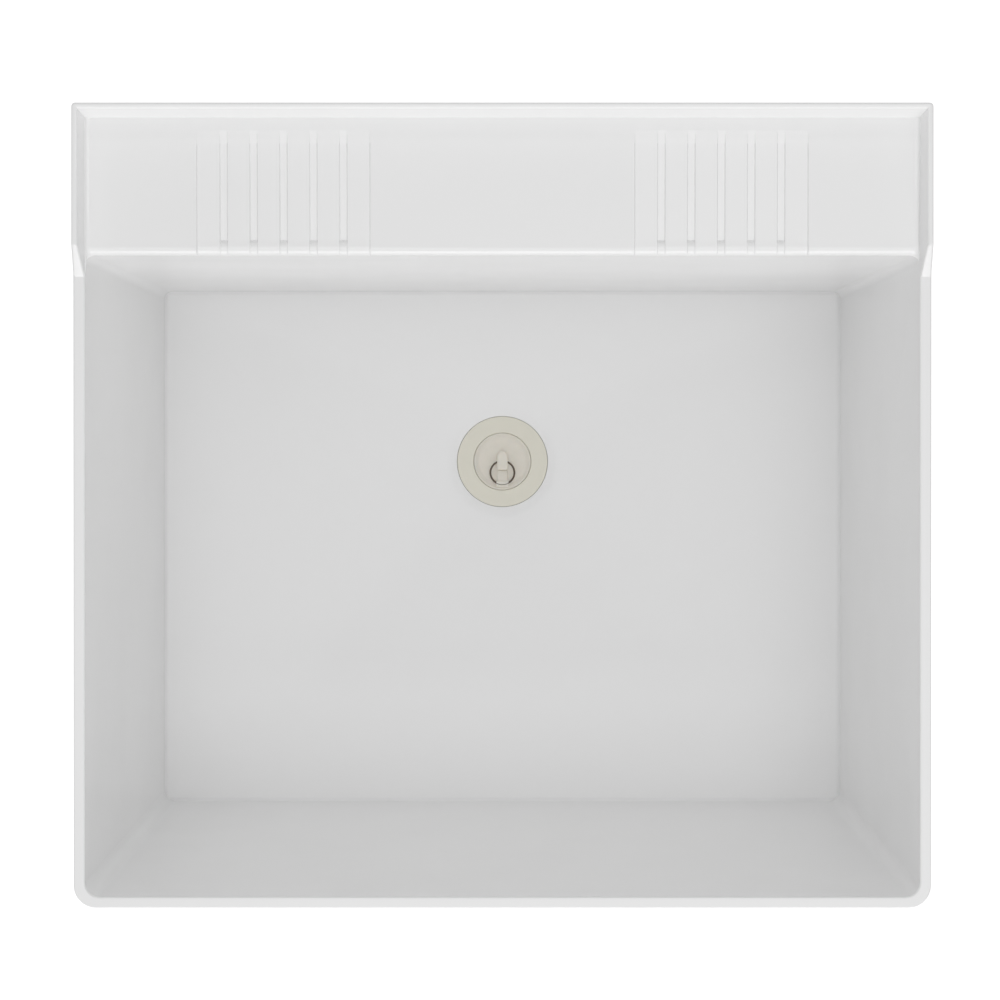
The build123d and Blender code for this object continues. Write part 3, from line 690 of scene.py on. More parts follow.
def bowl_shell(s, t):
    """The bowl's outer form, with its sloped underside and the boss round the drain."""
    heel_round = 0.008
    boss_r, boss_root_r, boss_round = 0.046, 0.058, 0.001
    shell = block(
        "bowl_shell", (-t.open_x - s.wall, t.open_front - s.wall, t.under),
        (t.open_x + s.wall, t.open_rear + s.wall, t.rim - s.deck_thickness / 2),
    )
    edit(shell, "FACE")
    pick("faces", lambda f: f.normal.z < -0.9)
    fit_selection(t.floor_x + s.wall, t.floor_front - s.wall, t.floor_rear + s.wall)
    bpy.ops.mesh.select_mode(type="EDGE")
    bevel(lambda e: abs(ends(e)[0].z - ends(e)[1].z) > 0.1, s.bowl_corner + s.wall, 8)
    bevel(on(z=t.under), heel_round, 5)
    bpy.ops.mesh.select_mode(type="FACE")
    pick("faces", lambda f: f.normal.z < -0.999 and f.calc_area() > 0.1)
    extrude(0, 0, -s.floor_fall)
    fit_selection(boss_r, drain_y - boss_r, drain_y + boss_r)
    settle()

    bpy.ops.mesh.primitive_cone_add(
        vertices=64, radius1=boss_r, radius2=boss_root_r, depth=t.under - boss_z,
        location=(0, drain_y, (t.under + boss_z) / 2),
    )
    boss = fixed("boss")
    edit(boss)
    bevel(on(z=boss_z), boss_round, 3)
    combine(shell, boss, "UNION")
    return shell


def deck_ribs(s, t, body):
    """Three ribs between the bowl's rear wall and the underside of the deck."""
    half = s.rib_thickness / 2
    foot_round = 0.0015
    back_y = rear_y - s.rim_band / 2
    for x in (-s.rib_pitch, 0, s.rib_pitch):
        rib = block(
            "rib", (x - half, t.floor_rear + s.wall / 2, t.under_deck - s.rib_height),
            (x + half, back_y, t.under_deck + s.deck_thickness / 2),
        )
        edit(rib, "VERT")
        taper = s.rib_height - s.rib_rear_height
        shift(lambda v: v.co.z < t.under_deck - NEAR and at(v.co.y, back_y), 0, 0, taper)
        bpy.ops.mesh.select_mode(type="EDGE")
        bevel(lambda e: all(p.z < t.under_deck - NEAR for p in ends(e))
              and not at(ends(e)[0].y, ends(e)[1].y), foot_round, 3)
        combine(body, rib, "UNION")


def corner_lugs(s, t, body):
    """Angle-shaped lugs under the bowl's corners, which the legs are bolted to."""
    metal = bpy.context.scene.laundry_legs.metal
    corner_round, edge_round = 0.004, 0.0008
    low_z = t.under - s.lug_drop
    top_z = t.under + s.floor_wall / 2
    for side_x in (-1, 1):
        for side_y, outer_y in ((-1, leg_low.y + metal), (1, rear_leg_high.y - metal)):
            outwards = Vector((side_x, side_y))
            corner = Vector((side_x * (-leg_low.x - metal), outer_y))
            inner = corner - outwards * s.lug_width
            near = corner - outwards * s.lug_wall
            far = corner - outwards * (s.lug_width + PAST)
            lug = block(
                "lug", (*corner, low_z), (*inner, top_z), (on(x=corner.x, y=corner.y), corner_round, 4)
            )
            combine(lug, block("pocket", (*near, low_z - PAST), (*far, t.under)), "DIFFERENCE")
            edit(lug)
            bevel(lambda e: e.is_manifold and e.is_convex and e.calc_face_angle() > 1
                  and max(p.z for p in ends(e)) < top_z - NEAR, edge_round, 2)
            combine(body, lug, "UNION")


def leg_bolts():
    """Each leg bolt's two corners, its middle, and whether it lies along X (0) or Y (1)."""
    return [
        (low, high, (low + high) / 2, 0 if high.x - low.x > high.y - low.y else 1)
        for low, high in islands("leg_bolts")
    ]


def bolt_holes(body):
    """Drill the lugs where the leg bolts pass, right through both sides at once."""
    radius = bpy.context.scene.laundry_legs.bolt_hole
    bolts = leg_bolts()
    for axis in (0, 1):
        rows = {
            (round(middle[1 - axis], 5), round(middle.z, 5)) for *_, middle, run in bolts if run == axis
        }
        pins = [
            pin(radius, 2 * half_width, (across, 0, z) if axis else (0, across, z), axis, 24)
            for across, z in sorted(rows)
        ]
        combine(body, joined(pins), "DIFFERENCE")


def islands(node):
    """The lowest and highest corners of each loose part of a frame node."""
    form = bmesh.new()
    form.from_mesh(frame["nodes"][node].data)
    bmesh.ops.remove_doubles(form, verts=form.verts, dist=0.000001)
    left = set(form.verts)
    boxes = []
    while left:
        waiting = [left.pop()]
        part = []
        while waiting:
            vert = waiting.pop()
            part.append(vert.co)
            near = left.intersection([edge.other_vert(vert) for edge in vert.link_edges])
            left -= near
            waiting.extend(near)
        boxes.append([Vector([end(co[i] for co in part) for i in range(3)]) for end in (min, max)])
    form.free()
    return boxes


def round_rim(s, t, body):
    """Round the rim's and the lip's convex edges."""
    def radius(edge):
        if not edge.is_manifold or not edge.is_convex or edge.calc_face_angle() < 0.6:
            return 0
        if min(p.z for p in ends(edge)) < t.rim - NEAR:
            return 0
        inside = all(at(p.z, lip_top_z) and 0 < rear_y - NEAR - p.y < s.rim_band for p in ends(edge))
        return s.lip_rear_round if inside and at(ends(edge)[0].y, ends(edge)[1].y) else s.edge_round

    round_by_weight(body, s.lip_rear_round, 4, radius)


def fall_at(s, y, rear, step, full, front):
    """Depth at y of a fall that fades in at its rear end and deepens evenly to the front."""
    start = rear - s.ledge_fade
    if y > start:
        return step * max(0, rear - y) / s.ledge_fade
    return step + (full - step) * min(1, (start - y) / (start - front))


def ledge_columns(s):
    """Across a soap ledge: each line's place, and its share of the ledge's and a groove's depth."""
    steps = 6
    wall = [(s.ledge_wall * k / steps, (1 - math.cos(math.pi * k / steps)) / 2) for k in range(steps + 1)]
    half = (s.ledge_width + s.ledge_wall) / 2
    groove_half = (s.groove_width + s.ledge_wall) / 2
    columns = [(-half + run, share, 0) for run, share in wall]
    for i in range(-2, 3):
        middle = i * s.groove_pitch
        columns += [(middle - groove_half + run, 1, share) for run, share in wall]
        columns += [(middle + groove_half - run, 1, share) for run, share in reversed(wall)]
    return columns + [(half - run, share, 0) for run, share in reversed(wall)]


def ledge_rows(s, t):
    """Along a soap ledge: each line's y, its drop over the bowl's edge, and both depths there."""
    roll_y = t.open_rear + s.deck_roll
    notch_y = s.scupper_y - NEAR
    rears = (s.ledge_rear_y, s.groove_rear_y)
    places = sorted([rear - s.ledge_fade * k / 3 for rear in rears for k in range(4)], reverse=True)
    rows = []
    for y in places + [s.scupper_y + NEAR]:
        panel = fall_at(s, y, s.ledge_rear_y, s.ledge_step, s.ledge_drop, s.scupper_y)
        groove = fall_at(s, y, s.groove_rear_y, s.groove_step, s.groove_depth, s.scupper_y)
        rows.append((y, 0, panel, groove))
    for k in range(7):
        left = 1 - k / 6
        depth = s.scupper_lip + (s.scupper_depth - s.scupper_lip) * left ** 3
        rows.append((roll_y + (notch_y - roll_y) * left, 0, s.ledge_drop, depth))
    for k in range(1, 7):
        turn = math.radians(15 * k)
        drop = s.deck_roll * (1 - math.cos(turn))
        depth = s.scupper_lip * (1 - k / 15)
        rows.append((roll_y - s.deck_roll * math.sin(turn), drop, s.ledge_drop, depth))
    for beyond in (0.0003, 0.004):
        rows.append((t.open_rear - beyond, s.deck_roll + 0.006, s.ledge_drop, 0.001))
    return rows


def soap_ledges(s, t, body):
    """Press both soap ledges into the deck: a sunk panel, five grooves and their notches."""
    columns = ledge_columns(s)
    rows = ledge_rows(s, t)
    clear = 0.00003
    tools = []
    for side in (-1, 1):
        settle()
        bpy.ops.mesh.primitive_grid_add(
            x_subdivisions=len(columns) - 1, y_subdivisions=len(rows) - 1, size=1
        )
        tool = bpy.context.object
        edit(tool)
        for vert in bmesh.from_edit_mesh(tool.data).verts:
            x, panel_share, groove_share = columns[round((vert.co.x + 0.5) * (len(columns) - 1))]
            y, drop, panel, groove = rows[round((0.5 - vert.co.y) * (len(rows) - 1))]
            depth = drop + panel * panel_share + groove * groove_share
            vert.co = (side * s.ledge_spacing / 2 + x, y, t.rim + clear - depth)
        pick_all()
        extrude(0, 0, 3 * PAST)
        close_up()
        tools.append(tool)
    combine(body, joined(tools), "DIFFERENCE")


def outline_piece(name, x, y, outline, closed):
    """An upright outline of (radius, height) points, drawn point by point from the axis outwards."""
    settle()
    bpy.ops.mesh.primitive_plane_add(size=0.01, location=(0, 0, 0))
    piece = fixed(name)
    edit(piece, "VERT")
    pick_all()
    bpy.ops.mesh.merge(type="CENTER")
    pick_all()
    bpy.ops.transform.translate(value=(x + outline[0][0], y, outline[0][1]))
    following = outline[1:] + outline[:1] if closed else outline[1:]
    for (r, z), (next_r, next_z) in zip(outline, following):
        extrude(next_r - r, 0, next_z - z)
    pick_all()
    bpy.ops.mesh.remove_doubles(threshold=0.000005)
    return piece


def turned(name, x, y, outline, rounds=None, steps=96):
    """A piece turned about an upright axis, with some points of its outline, by number, rounded first.

    An outline that starts on the axis stays open there, and any other is closed into a ring.
    """
    piece = outline_piece(name, x, y, outline, outline[0][0] > 0)
    for number, rounding in (rounds or {}).items():
        radius, z = outline[number]
        pick("verts", lambda v: at(v.co.x, x + radius, 0.000005) and at(v.co.z, z, 0.000005))
        bpy.ops.mesh.bevel(offset=rounding, segments=4, affect="VERTICES")
    pick_all()
    bpy.ops.mesh.spin(steps=steps, angle=math.tau, center=(x, y, 0), axis=(0, 0, 1))
    close_up(0.000002)
    return piece


def threaded_rod(radius, pitch, low, high, free_end):
    """A rod on the Z axis with a helical thread, its ends cut flat and the low or high one chamfered."""

    # One tooth: two flanks and a narrow crest
    depth = pitch * 0.6
    tooth = [(radius - depth, 0), (radius, pitch * 0.42), (radius, pitch * 0.58), (radius - depth, pitch)]
    start = low - 2 * pitch
    piece = outline_piece("rod", 0, 0, [(r, start + z) for r, z in tooth], False)
    modify(
        piece, "SCREW", axis="Z", angle=math.tau, screw_offset=pitch,
        iterations=math.ceil((high - low) / pitch) + 3, steps=20, render_steps=20,
        use_merge_vertices=True, merge_threshold=0.000005,
    )
    edit(piece, "FACE")
    for height, upwards in ((low, -1), (high, 1)):
        pick_all()
        bpy.ops.mesh.bisect(
            plane_co=(0, 0, height), plane_no=(0, 0, upwards), use_fill=True, clear_outer=True
        )
    close_up(0.000002)
    wide = radius + 0.001
    narrow = radius - depth * 1.3
    low_r, high_r = (narrow, wide) if free_end == "low" else (wide, narrow)
    keep = turned(
        "keep", 0, 0,
        [(0, low - NEAR), (low_r, low - NEAR), (wide, low + wide - low_r),
         (wide, high - wide + high_r), (high_r, high + NEAR), (0, high + NEAR)],
        steps=32,
    )
    combine(piece, keep, "INTERSECT")
    return piece


def hexagon(flats, low, high, bore=0, chamfer_low=True):
    """A hexagon on the Z axis with turned chamfers on its corners, and a bore if it is a nut."""
    settle()
    corner = flats / math.sqrt(3)
    bpy.ops.mesh.primitive_cylinder_add(
        vertices=6, radius=corner, depth=high - low, location=(0, 0, (low + high) / 2)
    )
    piece = fixed("hexagon")
    edit(piece)
    bevel(upright, flats * 0.012, 2)

    # Chamfers at 30 degrees, from a circle just inside the flats
    wide = corner * 1.02
    flat_r = flats * 0.475
    rise = (wide - flat_r) * 0.577
    keep = turned(
        "keep", 0, 0,
        [(0, low - NEAR), (flat_r if chamfer_low else wide, low - NEAR), (wide, low + rise),
         (wide, high - rise), (flat_r, high + NEAR), (0, high + NEAR)],
        steps=48,
    )
    combine(piece, keep, "INTERSECT")
    if bore:
        lead = bore * 0.12
        drill = turned(
            "drill", 0, 0,
            [(0, low - lead), (bore + 2 * lead, low - lead), (bore, low + lead),
             (bore, high - lead), (bore + 2 * lead, high + lead), (0, high + lead)],
            steps=32,
        )
        combine(piece, drill, "DIFFERENCE")
    return piece


def pin(radius, depth, place, axis=2, sides=32):
    """A round bar along X (0), Y (1) or Z (2) about its middle, to drill a hole with."""
    settle()
    turn = ((0, math.pi / 2, 0), (math.pi / 2, 0, 0), (0, 0, 0))[axis]
    bpy.ops.mesh.primitive_cylinder_add(
        vertices=sides, radius=radius, depth=depth, location=place, rotation=turn
    )
    return fixed("pin")


def copied(piece, turn=None, place=(0, 0, 0)):
    """A copy of a piece with its own mesh, turned and moved there."""
    other = piece.copy()
    other.data = piece.data.copy()
    bpy.context.collection.objects.link(other)
    other.matrix_world = Matrix.Translation(place) @ (turn or Matrix())
    take(other)
    return fixed("copy")


def joined(pieces):
    """Several pieces as one object."""
    take(pieces[0])
    for piece in pieces:
        piece.select_set(True)
    bpy.ops.object.join()
    return take(pieces[0])


def discard(piece):
    """Delete a piece that was only a tool or a pattern."""
    take(piece)
    bpy.ops.object.delete()


def round_edges(piece, width):
    """Round every sharp edge of a piece."""
    modify(piece, "BEVEL", limit_method="ANGLE", angle_limit=math.radians(30), width=width, segments=2)


def place_piece(piece, name, slot, body, node):
    """Shade, name and dress a finished piece that stands for a frame node and rides on its body."""
    take(piece)
    bpy.ops.object.shade_smooth_by_angle(angle=math.radians(40))
    modify(piece, "WEIGHTED_NORMAL", keep_sharp=True)
    piece.name = name
    piece.data.name = name
    dress(piece, slot)
    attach(piece, body)
    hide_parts(node)


class LAUNDRYTUB_OT_tub(bpy.types.Operator):
    """Model the moulded tub: bowl, rim, deck, lip, soap ledges, ribs and leg lugs"""

    bl_idname = "laundry_tub.tub"
    bl_label = "Tub"

    def execute(self, context):
        s = context.scene.laundry_tub
        t = tub_levels(s)
        body = rim_block(s, t)
        combine(body, bowl_shell(s, t), "UNION")
        deck_ribs(s, t, body)
        corner_lugs(s, t, body)
        bolt_holes(body)
        air = drain_floor(s, t, roll_and_coves(s, t, bowl_and_tray_air(s, t)))
        combine(body, air, "DIFFERENCE")
        round_rim(s, t, body)
        soap_ledges(s, t, body)
        place_piece(body, "tub_moulding", "tub_white", "tub_and_legs", "tub")
        return {"FINISHED"}


class LAUNDRYTUB_OT_drain(bpy.types.Operator):
    """Model the drain body: flange, plug seat, crossed bars and the two moulded threads"""

    bl_idname = "laundry_tub.drain"
    bl_label = "Drain body"

    def execute(self, context):
        d = context.scene.laundry_drain
        low = drain_low.z
        neck = low + d.outlet_length
        under = flange_top_z - d.flange_height
        plug_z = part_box("stopper")[0].z
        bars_z = plug_z - 0.016
        bars_top = bars_z + d.bar_height
        outline = [(d.bore, low)]
        for start, stop, radius in ((low, neck, d.outlet_thread), (neck, under, d.body_thread)):
            turns = round((stop - start) / d.thread_pitch) - 1
            margin = (stop - start - turns * d.thread_pitch) / 2
            root = radius - d.thread_depth
            outline.append((root, start))
            for i in range(turns):
                foot = start + margin + i * d.thread_pitch
                outline += [
                    (r, foot + d.thread_pitch * share)
                    for r, share in ((root, 0), (radius, 0.3), (radius, 0.5), (root, 0.8))
                ]
            outline.append((root, stop))
        flange = len(outline)
        outline += [
            (d.flange_radius, under), (d.flange_radius, flange_top_z), (d.seat_radius, flange_top_z),
            (d.seat_low_radius, plug_z), (d.seat_low_radius, bars_z), (d.bore, bars_z - 0.003),
        ]
        rounds = {flange: 0.0005, flange + 1: d.flange_round, flange + 2: 0.0005, 0: 0.0005}
        body = turned("fitting", 0, drain_y, outline, rounds)

        # Crossed bars that keep cloth out of the pipe
        half = d.bar_width / 2
        reach = d.seat_low_radius + 0.0005
        bars = [
            block(
                "bar", (-x, drain_y - y, bars_z), (x, drain_y + y, bars_top),
                (lambda e: at(ends(e)[0].z, ends(e)[1].z) and e.calc_length() > 4 * half, 0.0007, 3),
            )
            for x, y in ((reach, half), (half, reach))
        ]
        hub = turned(
            "hub", 0, drain_y,
            [(0, bars_z - 0.0003), (d.hub_radius, bars_z - 0.0003), (d.hub_radius, bars_top + 0.0004),
             (0, bars_top + 0.0006)],
            {1: 0.0008, 2: 0.0010}, steps=32,
        )
        combine(bars[0], bars[1], "UNION")
        combine(bars[0], hub, "UNION")
        combine(body, bars[0], "UNION")
        place_piece(body, "drain_fitting", "drain_cream", "tub_and_legs", "drain_body")
        return {"FINISHED"}


def ring_frame(d):
    """Where the pull ring turns, how far its middle lies before that, its mean radius and its tilt."""
    mean = d.ring_radius - d.wire_radius
    offset = (mean + math.sqrt(mean ** 2 - (d.tab_width / 2) ** 2)) / 2
    joints = {joint["name"]: joint for joint in frame["record"]["behaviour"]["joints"]}
    pivot = Vector(joints["ring_swing"]["pos_m"])
    drop = pivot.z - d.wire_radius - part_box("stopper_ring")[0].z
    return pivot, offset, mean, math.asin(drop / (offset + mean))


def lay_ring(piece, pivot, offset, tilt):
    """Move a shape that was made round the origin to where the pull ring lies."""
    place = pivot + Vector((0, -offset * math.cos(tilt), -offset * math.sin(tilt)))
    piece.matrix_world = Matrix.Translation(place) @ Matrix.Rotation(tilt, 4, "X")
    take(piece)
    return fixed("laid")


class LAUNDRYTUB_OT_stopper(bpy.types.Operator):
    """Model the soft plug with its dished top, pull tab, tongue and the clip that holds the ring"""

    bl_idname = "laundry_tub.stopper"
    bl_label = "Stopper"

    def execute(self, context):
        d = context.scene.laundry_drain
        low, top = (corner.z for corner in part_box("stopper"))
        rim_z = flange_top_z
        dish_z = rim_z - d.dish_depth

        # A hollow below, inside a foot ring that tapers, and the dish above, inside a narrow brim
        hollow_z = low + 0.0045
        foot_width, foot_root, brim = 0.0022, 0.0034, 0.0009
        edge = d.seat_radius - d.plug_gap
        foot = d.seat_low_radius - d.plug_gap
        plug = turned(
            "plug", 0, drain_y,
            [(0, hollow_z), (foot - foot_root, hollow_z), (foot - foot_width, low), (foot, low),
             (edge, rim_z), (edge - brim, rim_z), (d.dish_radius, dish_z), (0, dish_z)],
            {1: 0.0010, 2: 0.0006, 3: 0.0006, 4: 0.0004, 5: 0.0008, 6: 0.0016},
        )
        half = d.tab_width / 2
        middle = drain_y + d.tab_shift
        tab_front = middle - d.tab_length / 2
        tongue_top = dish_z + d.tongue_height
        buried = dish_z - 0.0012

        def upright_end(sign):
            return lambda e: not at(ends(e)[0].z, ends(e)[1].z) and (ends(e)[0].y - middle) * sign > 0

        tab = block(
            "tab", (-half, tab_front, buried), (half, middle + d.tab_length / 2, top),
            (upright_end(1), half * 0.97, 8), (upright_end(-1), half * 0.45, 8),
            (on(z=top), d.tab_round, 5),
        )
        tongue = block(
            "tongue", (-half * 0.97, tab_front - d.tongue_length, buried),
            (half * 0.97, tab_front - d.fold_width, tongue_top),
            (on(z=tongue_top), 0.0005, 3),
        )

        # The clip, with a groove for the wire and a narrow mouth above it
        pivot, offset, mean, tilt = ring_frame(d)
        over_wire, play, gap, height = 0.0010, 0.0001, 0.0003, 0.004
        clip_y = pivot.y - (offset + mean) * math.cos(tilt) + 0.0004
        wire_z = pivot.z - (offset + mean) * math.sin(tilt)
        clip = block(
            "clip", (-d.clip_width / 2, clip_y - d.clip_length / 2, buried),
            (d.clip_width / 2, clip_y + d.clip_length / 2, wire_z + d.wire_radius + over_wire),
            (lambda e: max(p.z for p in ends(e)) > wire_z, 0.0009, 3),
        )
        bpy.ops.mesh.primitive_torus_add(
            major_radius=mean, minor_radius=d.wire_radius + play, major_segments=96, minor_segments=16
        )
        groove = bpy.context.object
        mouth = turned(
            "mouth", 0, 0, [(mean - gap, 0), (mean + gap, 0), (mean + gap, height), (mean - gap, height)]
        )
        for cutter in (groove, mouth):
            combine(clip, lay_ring(cutter, pivot, offset, tilt), "DIFFERENCE")
        for shape in (clip, tongue, tab):
            combine(plug, shape, "UNION")
        combine(plug, pin(d.tab_hole, 2 * PAST, pivot, axis=0), "DIFFERENCE")
        place_piece(plug, "vinyl_stopper", "stopper_vinyl", "plug", "stopper")
        return {"FINISHED"}


class LAUNDRYTUB_OT_pull_ring(bpy.types.Operator):
    """Bend the pull ring from round wire, with its cut ends meeting inside the tab"""

    bl_idname = "laundry_tub.pull_ring"
    bl_label = "Pull ring"

    def execute(self, context):
        d = context.scene.laundry_drain
        pivot, offset, mean, tilt = ring_frame(d)
        gap = 0.0004 / mean
        settle()
        bpy.ops.mesh.primitive_circle_add(
            vertices=20, radius=d.wire_radius, location=(0, mean, 0), rotation=(0, math.pi / 2, 0)
        )
        ring = fixed("ring")
        edit(ring)
        pick_all()
        bpy.ops.mesh.spin(steps=144, angle=math.tau - gap, center=(0, 0, 0), axis=(0, 0, 1))
        pick("edges", lambda e: e.is_boundary)
        bpy.ops.mesh.fill()
        close_up()
        lay_ring(ring, pivot, offset, tilt)
        place_piece(ring, "pull_ring_wire", "ring_steel", "pull_ring", "stopper_ring")
        return {"FINISHED"}


class LAUNDRYTUB_OT_seals(bpy.types.Operator):
    """Model the soft rings that seal the drain: gasket, under gasket, friction ring and washer"""

    bl_idname = "laundry_tub.seals"
    bl_label = "Seals"

    def execute(self, context):
        d = context.scene.laundry_drain
        for node, name, slot, bore, rounding in (
            ("drain_gasket", "flange_gasket", "gasket_rubber", d.body_thread + 0.0014, 0.0004),
            ("under_gasket", "floor_gasket", "gasket_rubber", d.body_thread + 0.0003, 0.0009),
            ("friction_ring", "fibre_ring", "fibre", d.body_thread + 0.0003, 0.0002),
            ("tailpiece_washer", "flange_washer", "washer_plastic", d.bore, 0.0007),
        ):
            low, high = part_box(node)
            seal = turned(
                "seal", 0, drain_y,
                [(bore, low.z), (high.x, low.z), (high.x, high.z), (bore, high.z)],
                dict.fromkeys(range(4), rounding),
            )
            place_piece(seal, name, slot, "tub_and_legs", node)
        return {"FINISHED"}


def lugged_nut(name, slot, node, thread, rounds, hole=0):
    """A plastic nut with six grip lugs round it, and a floor with a hole if a tube passes through it."""
    low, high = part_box(node)
    lug_rise, lug_inset, inner_z = 0.0035, 0.0006, low.z + 0.003
    body_r = high.x - lug_rise
    bore = thread + 0.0001
    outline = [(hole or bore, low.z), (body_r, low.z), (body_r, high.z), (bore, high.z)]
    if hole:
        outline += [(bore, inner_z), (hole, inner_z)]
    nut = turned("nut", 0, drain_y, outline, rounds)
    half = bpy.context.scene.laundry_drain.nut_lug_width / 2
    lug = block(
        "lug", (body_r - 0.003, drain_y - half, low.z + lug_inset),
        (high.x, drain_y + half, high.z - lug_inset),
        (lambda e: max(p.x for p in ends(e)) > high.x - NEAR, 0.0011, 3),
    )
    centre = Vector((0, drain_y, 0))
    turns = [Matrix.Rotation(math.tau * i / 6, 4, "Z") for i in range(6)]
    lugs = [copied(lug, turn, centre - turn @ centre) for turn in turns]
    discard(lug)
    combine(nut, joined(lugs), "UNION")
    place_piece(nut, name, slot, "tub_and_legs", node)


class LAUNDRYTUB_OT_waste(bpy.types.Operator):
    """Model the locknut under the tub, the coupling nut and the tailpiece"""

    bl_idname = "laundry_tub.waste"
    bl_label = "Waste"

    def execute(self, context):
        d = context.scene.laundry_drain
        lugged_nut(
            "locknut", "drain_cream", "drain_locknut", d.body_thread,
            {0: 0.0008, 1: 0.0012, 2: 0.0006, 3: 0.0004},
        )
        lugged_nut(
            "slip_nut", "pipe_white", "coupling_nut", d.outlet_thread,
            {0: 0.0006, 1: 0.0022, 2: 0.0008, 3: 0.0005}, d.tube_radius + 0.00085,
        )
        low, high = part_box("tailpiece")
        flange_z = high.z - 0.002
        hub_z = flange_z - 0.004
        hub_r = d.tube_radius + 0.00055
        tube = turned(
            "tube", 0, drain_y,
            [(d.tube_bore, low.z), (d.tube_radius, low.z), (d.tube_radius, hub_z), (hub_r, hub_z + 0.0008),
             (hub_r, flange_z), (high.x, flange_z), (high.x, high.z), (d.tube_bore, high.z)],
            {0: 0.0005, 1: 0.0006, 5: 0.0004, 6: 0.0005, 7: 0.0005},
        )
        place_piece(tube, "tail_tube", "pipe_white", "tub_and_legs", "tailpiece")
        return {"FINISHED"}


def leg_pattern(g):
    """The front left leg: a bent angle with tapered flanges, bolt holes and its foot plate."""
    corner = Vector(leg_low)
    top = leg_high.z
    inner = corner + Vector((g.metal, g.metal, 0))
    wide = Vector((g.flange, g.flange, 0))
    leg = block(
        "leg", corner, (*(corner + wide).xy, top), (on(x=corner.x, y=corner.y), g.bend, 6)
    )
    pocket = block(
        "pocket", (inner.x, inner.y, corner.z - PAST),
        (corner.x + g.flange + PAST, corner.y + g.flange + PAST, top + PAST),
        (on(x=inner.x, y=inner.y), g.bend - g.metal, 6),
    )
    combine(leg, pocket, "DIFFERENCE")

    # Both flanges narrow evenly from the lug down to the foot
    for axis in (0, 1):
        low = Vector((corner.x - PAST, corner.y - PAST, corner.z - 0.001))
        high = Vector((corner.x + PAST, corner.y + PAST, top - g.taper_drop))
        low[axis] = corner[axis] + g.foot_flange
        high[axis] = corner[axis] + g.flange + 2 * PAST
        wedge = block("wedge", low, high)
        edit(wedge, "VERT")
        move = Vector((0, 0, 0))
        move[axis] = g.flange - g.foot_flange + 0.0001
        shift(lambda v: at(v.co[axis], low[axis]) and at(v.co.z, high.z), *move)
        combine(leg, wedge, "DIFFERENCE")
    round_edges(leg, 0.00035)

    def plate_corner(test):
        return lambda e: not at(ends(e)[0].z, ends(e)[1].z) and all(test(p - corner) for p in ends(e))

    plate = block(
        "plate", (corner.x + 0.0001, corner.y + 0.0001, corner.z),
        (corner.x + g.plate, corner.y + g.plate, corner.z + g.plate_metal),
        (plate_corner(lambda p: min(p.xy) > 0.02), g.plate_chamfer, 1),
        (plate_corner(lambda p: max(p.xy) < 0.002), 0.003, 4),
    )
    round_edges(plate, 0.0003)
    combine(leg, plate, "UNION")
    combine(leg, pin(g.plate_hole, 2 * PAST, (*stud_axis("front_left"), corner.z)), "DIFFERENCE")
    for _, _, place, axis in leg_bolts():
        if max(place.xy) < 0:
            place[axis] = corner[axis]
            combine(leg, pin(g.bolt_hole, 1.2 * PAST, place, axis, 24), "DIFFERENCE")
    return leg


def stud_axis(corner):
    """Where a levelling stud stands in plan."""
    low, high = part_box("leveller_stud_" + corner)
    return (low.x + high.x) / 2, (low.y + high.y) / 2


class LAUNDRYTUB_OT_legs(bpy.types.Operator):
    """Model the four pressed steel legs with their foot plates"""

    bl_idname = "laundry_tub.legs"
    bl_label = "Legs"

    def execute(self, context):
        pattern = leg_pattern(context.scene.laundry_legs)
        for name, (side_x, side_y) in leg_corners.items():
            low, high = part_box("leg_" + name)
            flip = Matrix.Diagonal((side_x, side_y, 1, 1))
            corner = Vector((low.x if side_x > 0 else high.x, low.y if side_y > 0 else high.y, 0))
            leg = copied(pattern, flip, corner - flip @ Vector((leg_low.x, leg_low.y, 0)))
            edit(leg)
            close_up()
            place_piece(leg, "pressed_leg_" + name, "leg_enamel", "tub_and_legs", "leg_" + name)
        discard(pattern)
        return {"FINISHED"}


leg_corners = {
    "front_left": (1, 1),
    "front_right": (-1, 1),
    "rear_left": (1, -1),
    "rear_right": (-1, -1),
}


def along(axis, outwards):
    """A turn that lays the Z axis along X (0) or Y (1), pointing outwards or back."""
    if axis == 0:
        return Matrix.Rotation(math.pi / 2 * outwards, 4, "Y")
    return Matrix.Rotation(-math.pi / 2 * outwards, 4, "X")


def part_sizes(node):
    """The sizes of one of a node's like parts, the least first."""
    low, high = islands(node)[0]
    return sorted(high - low)


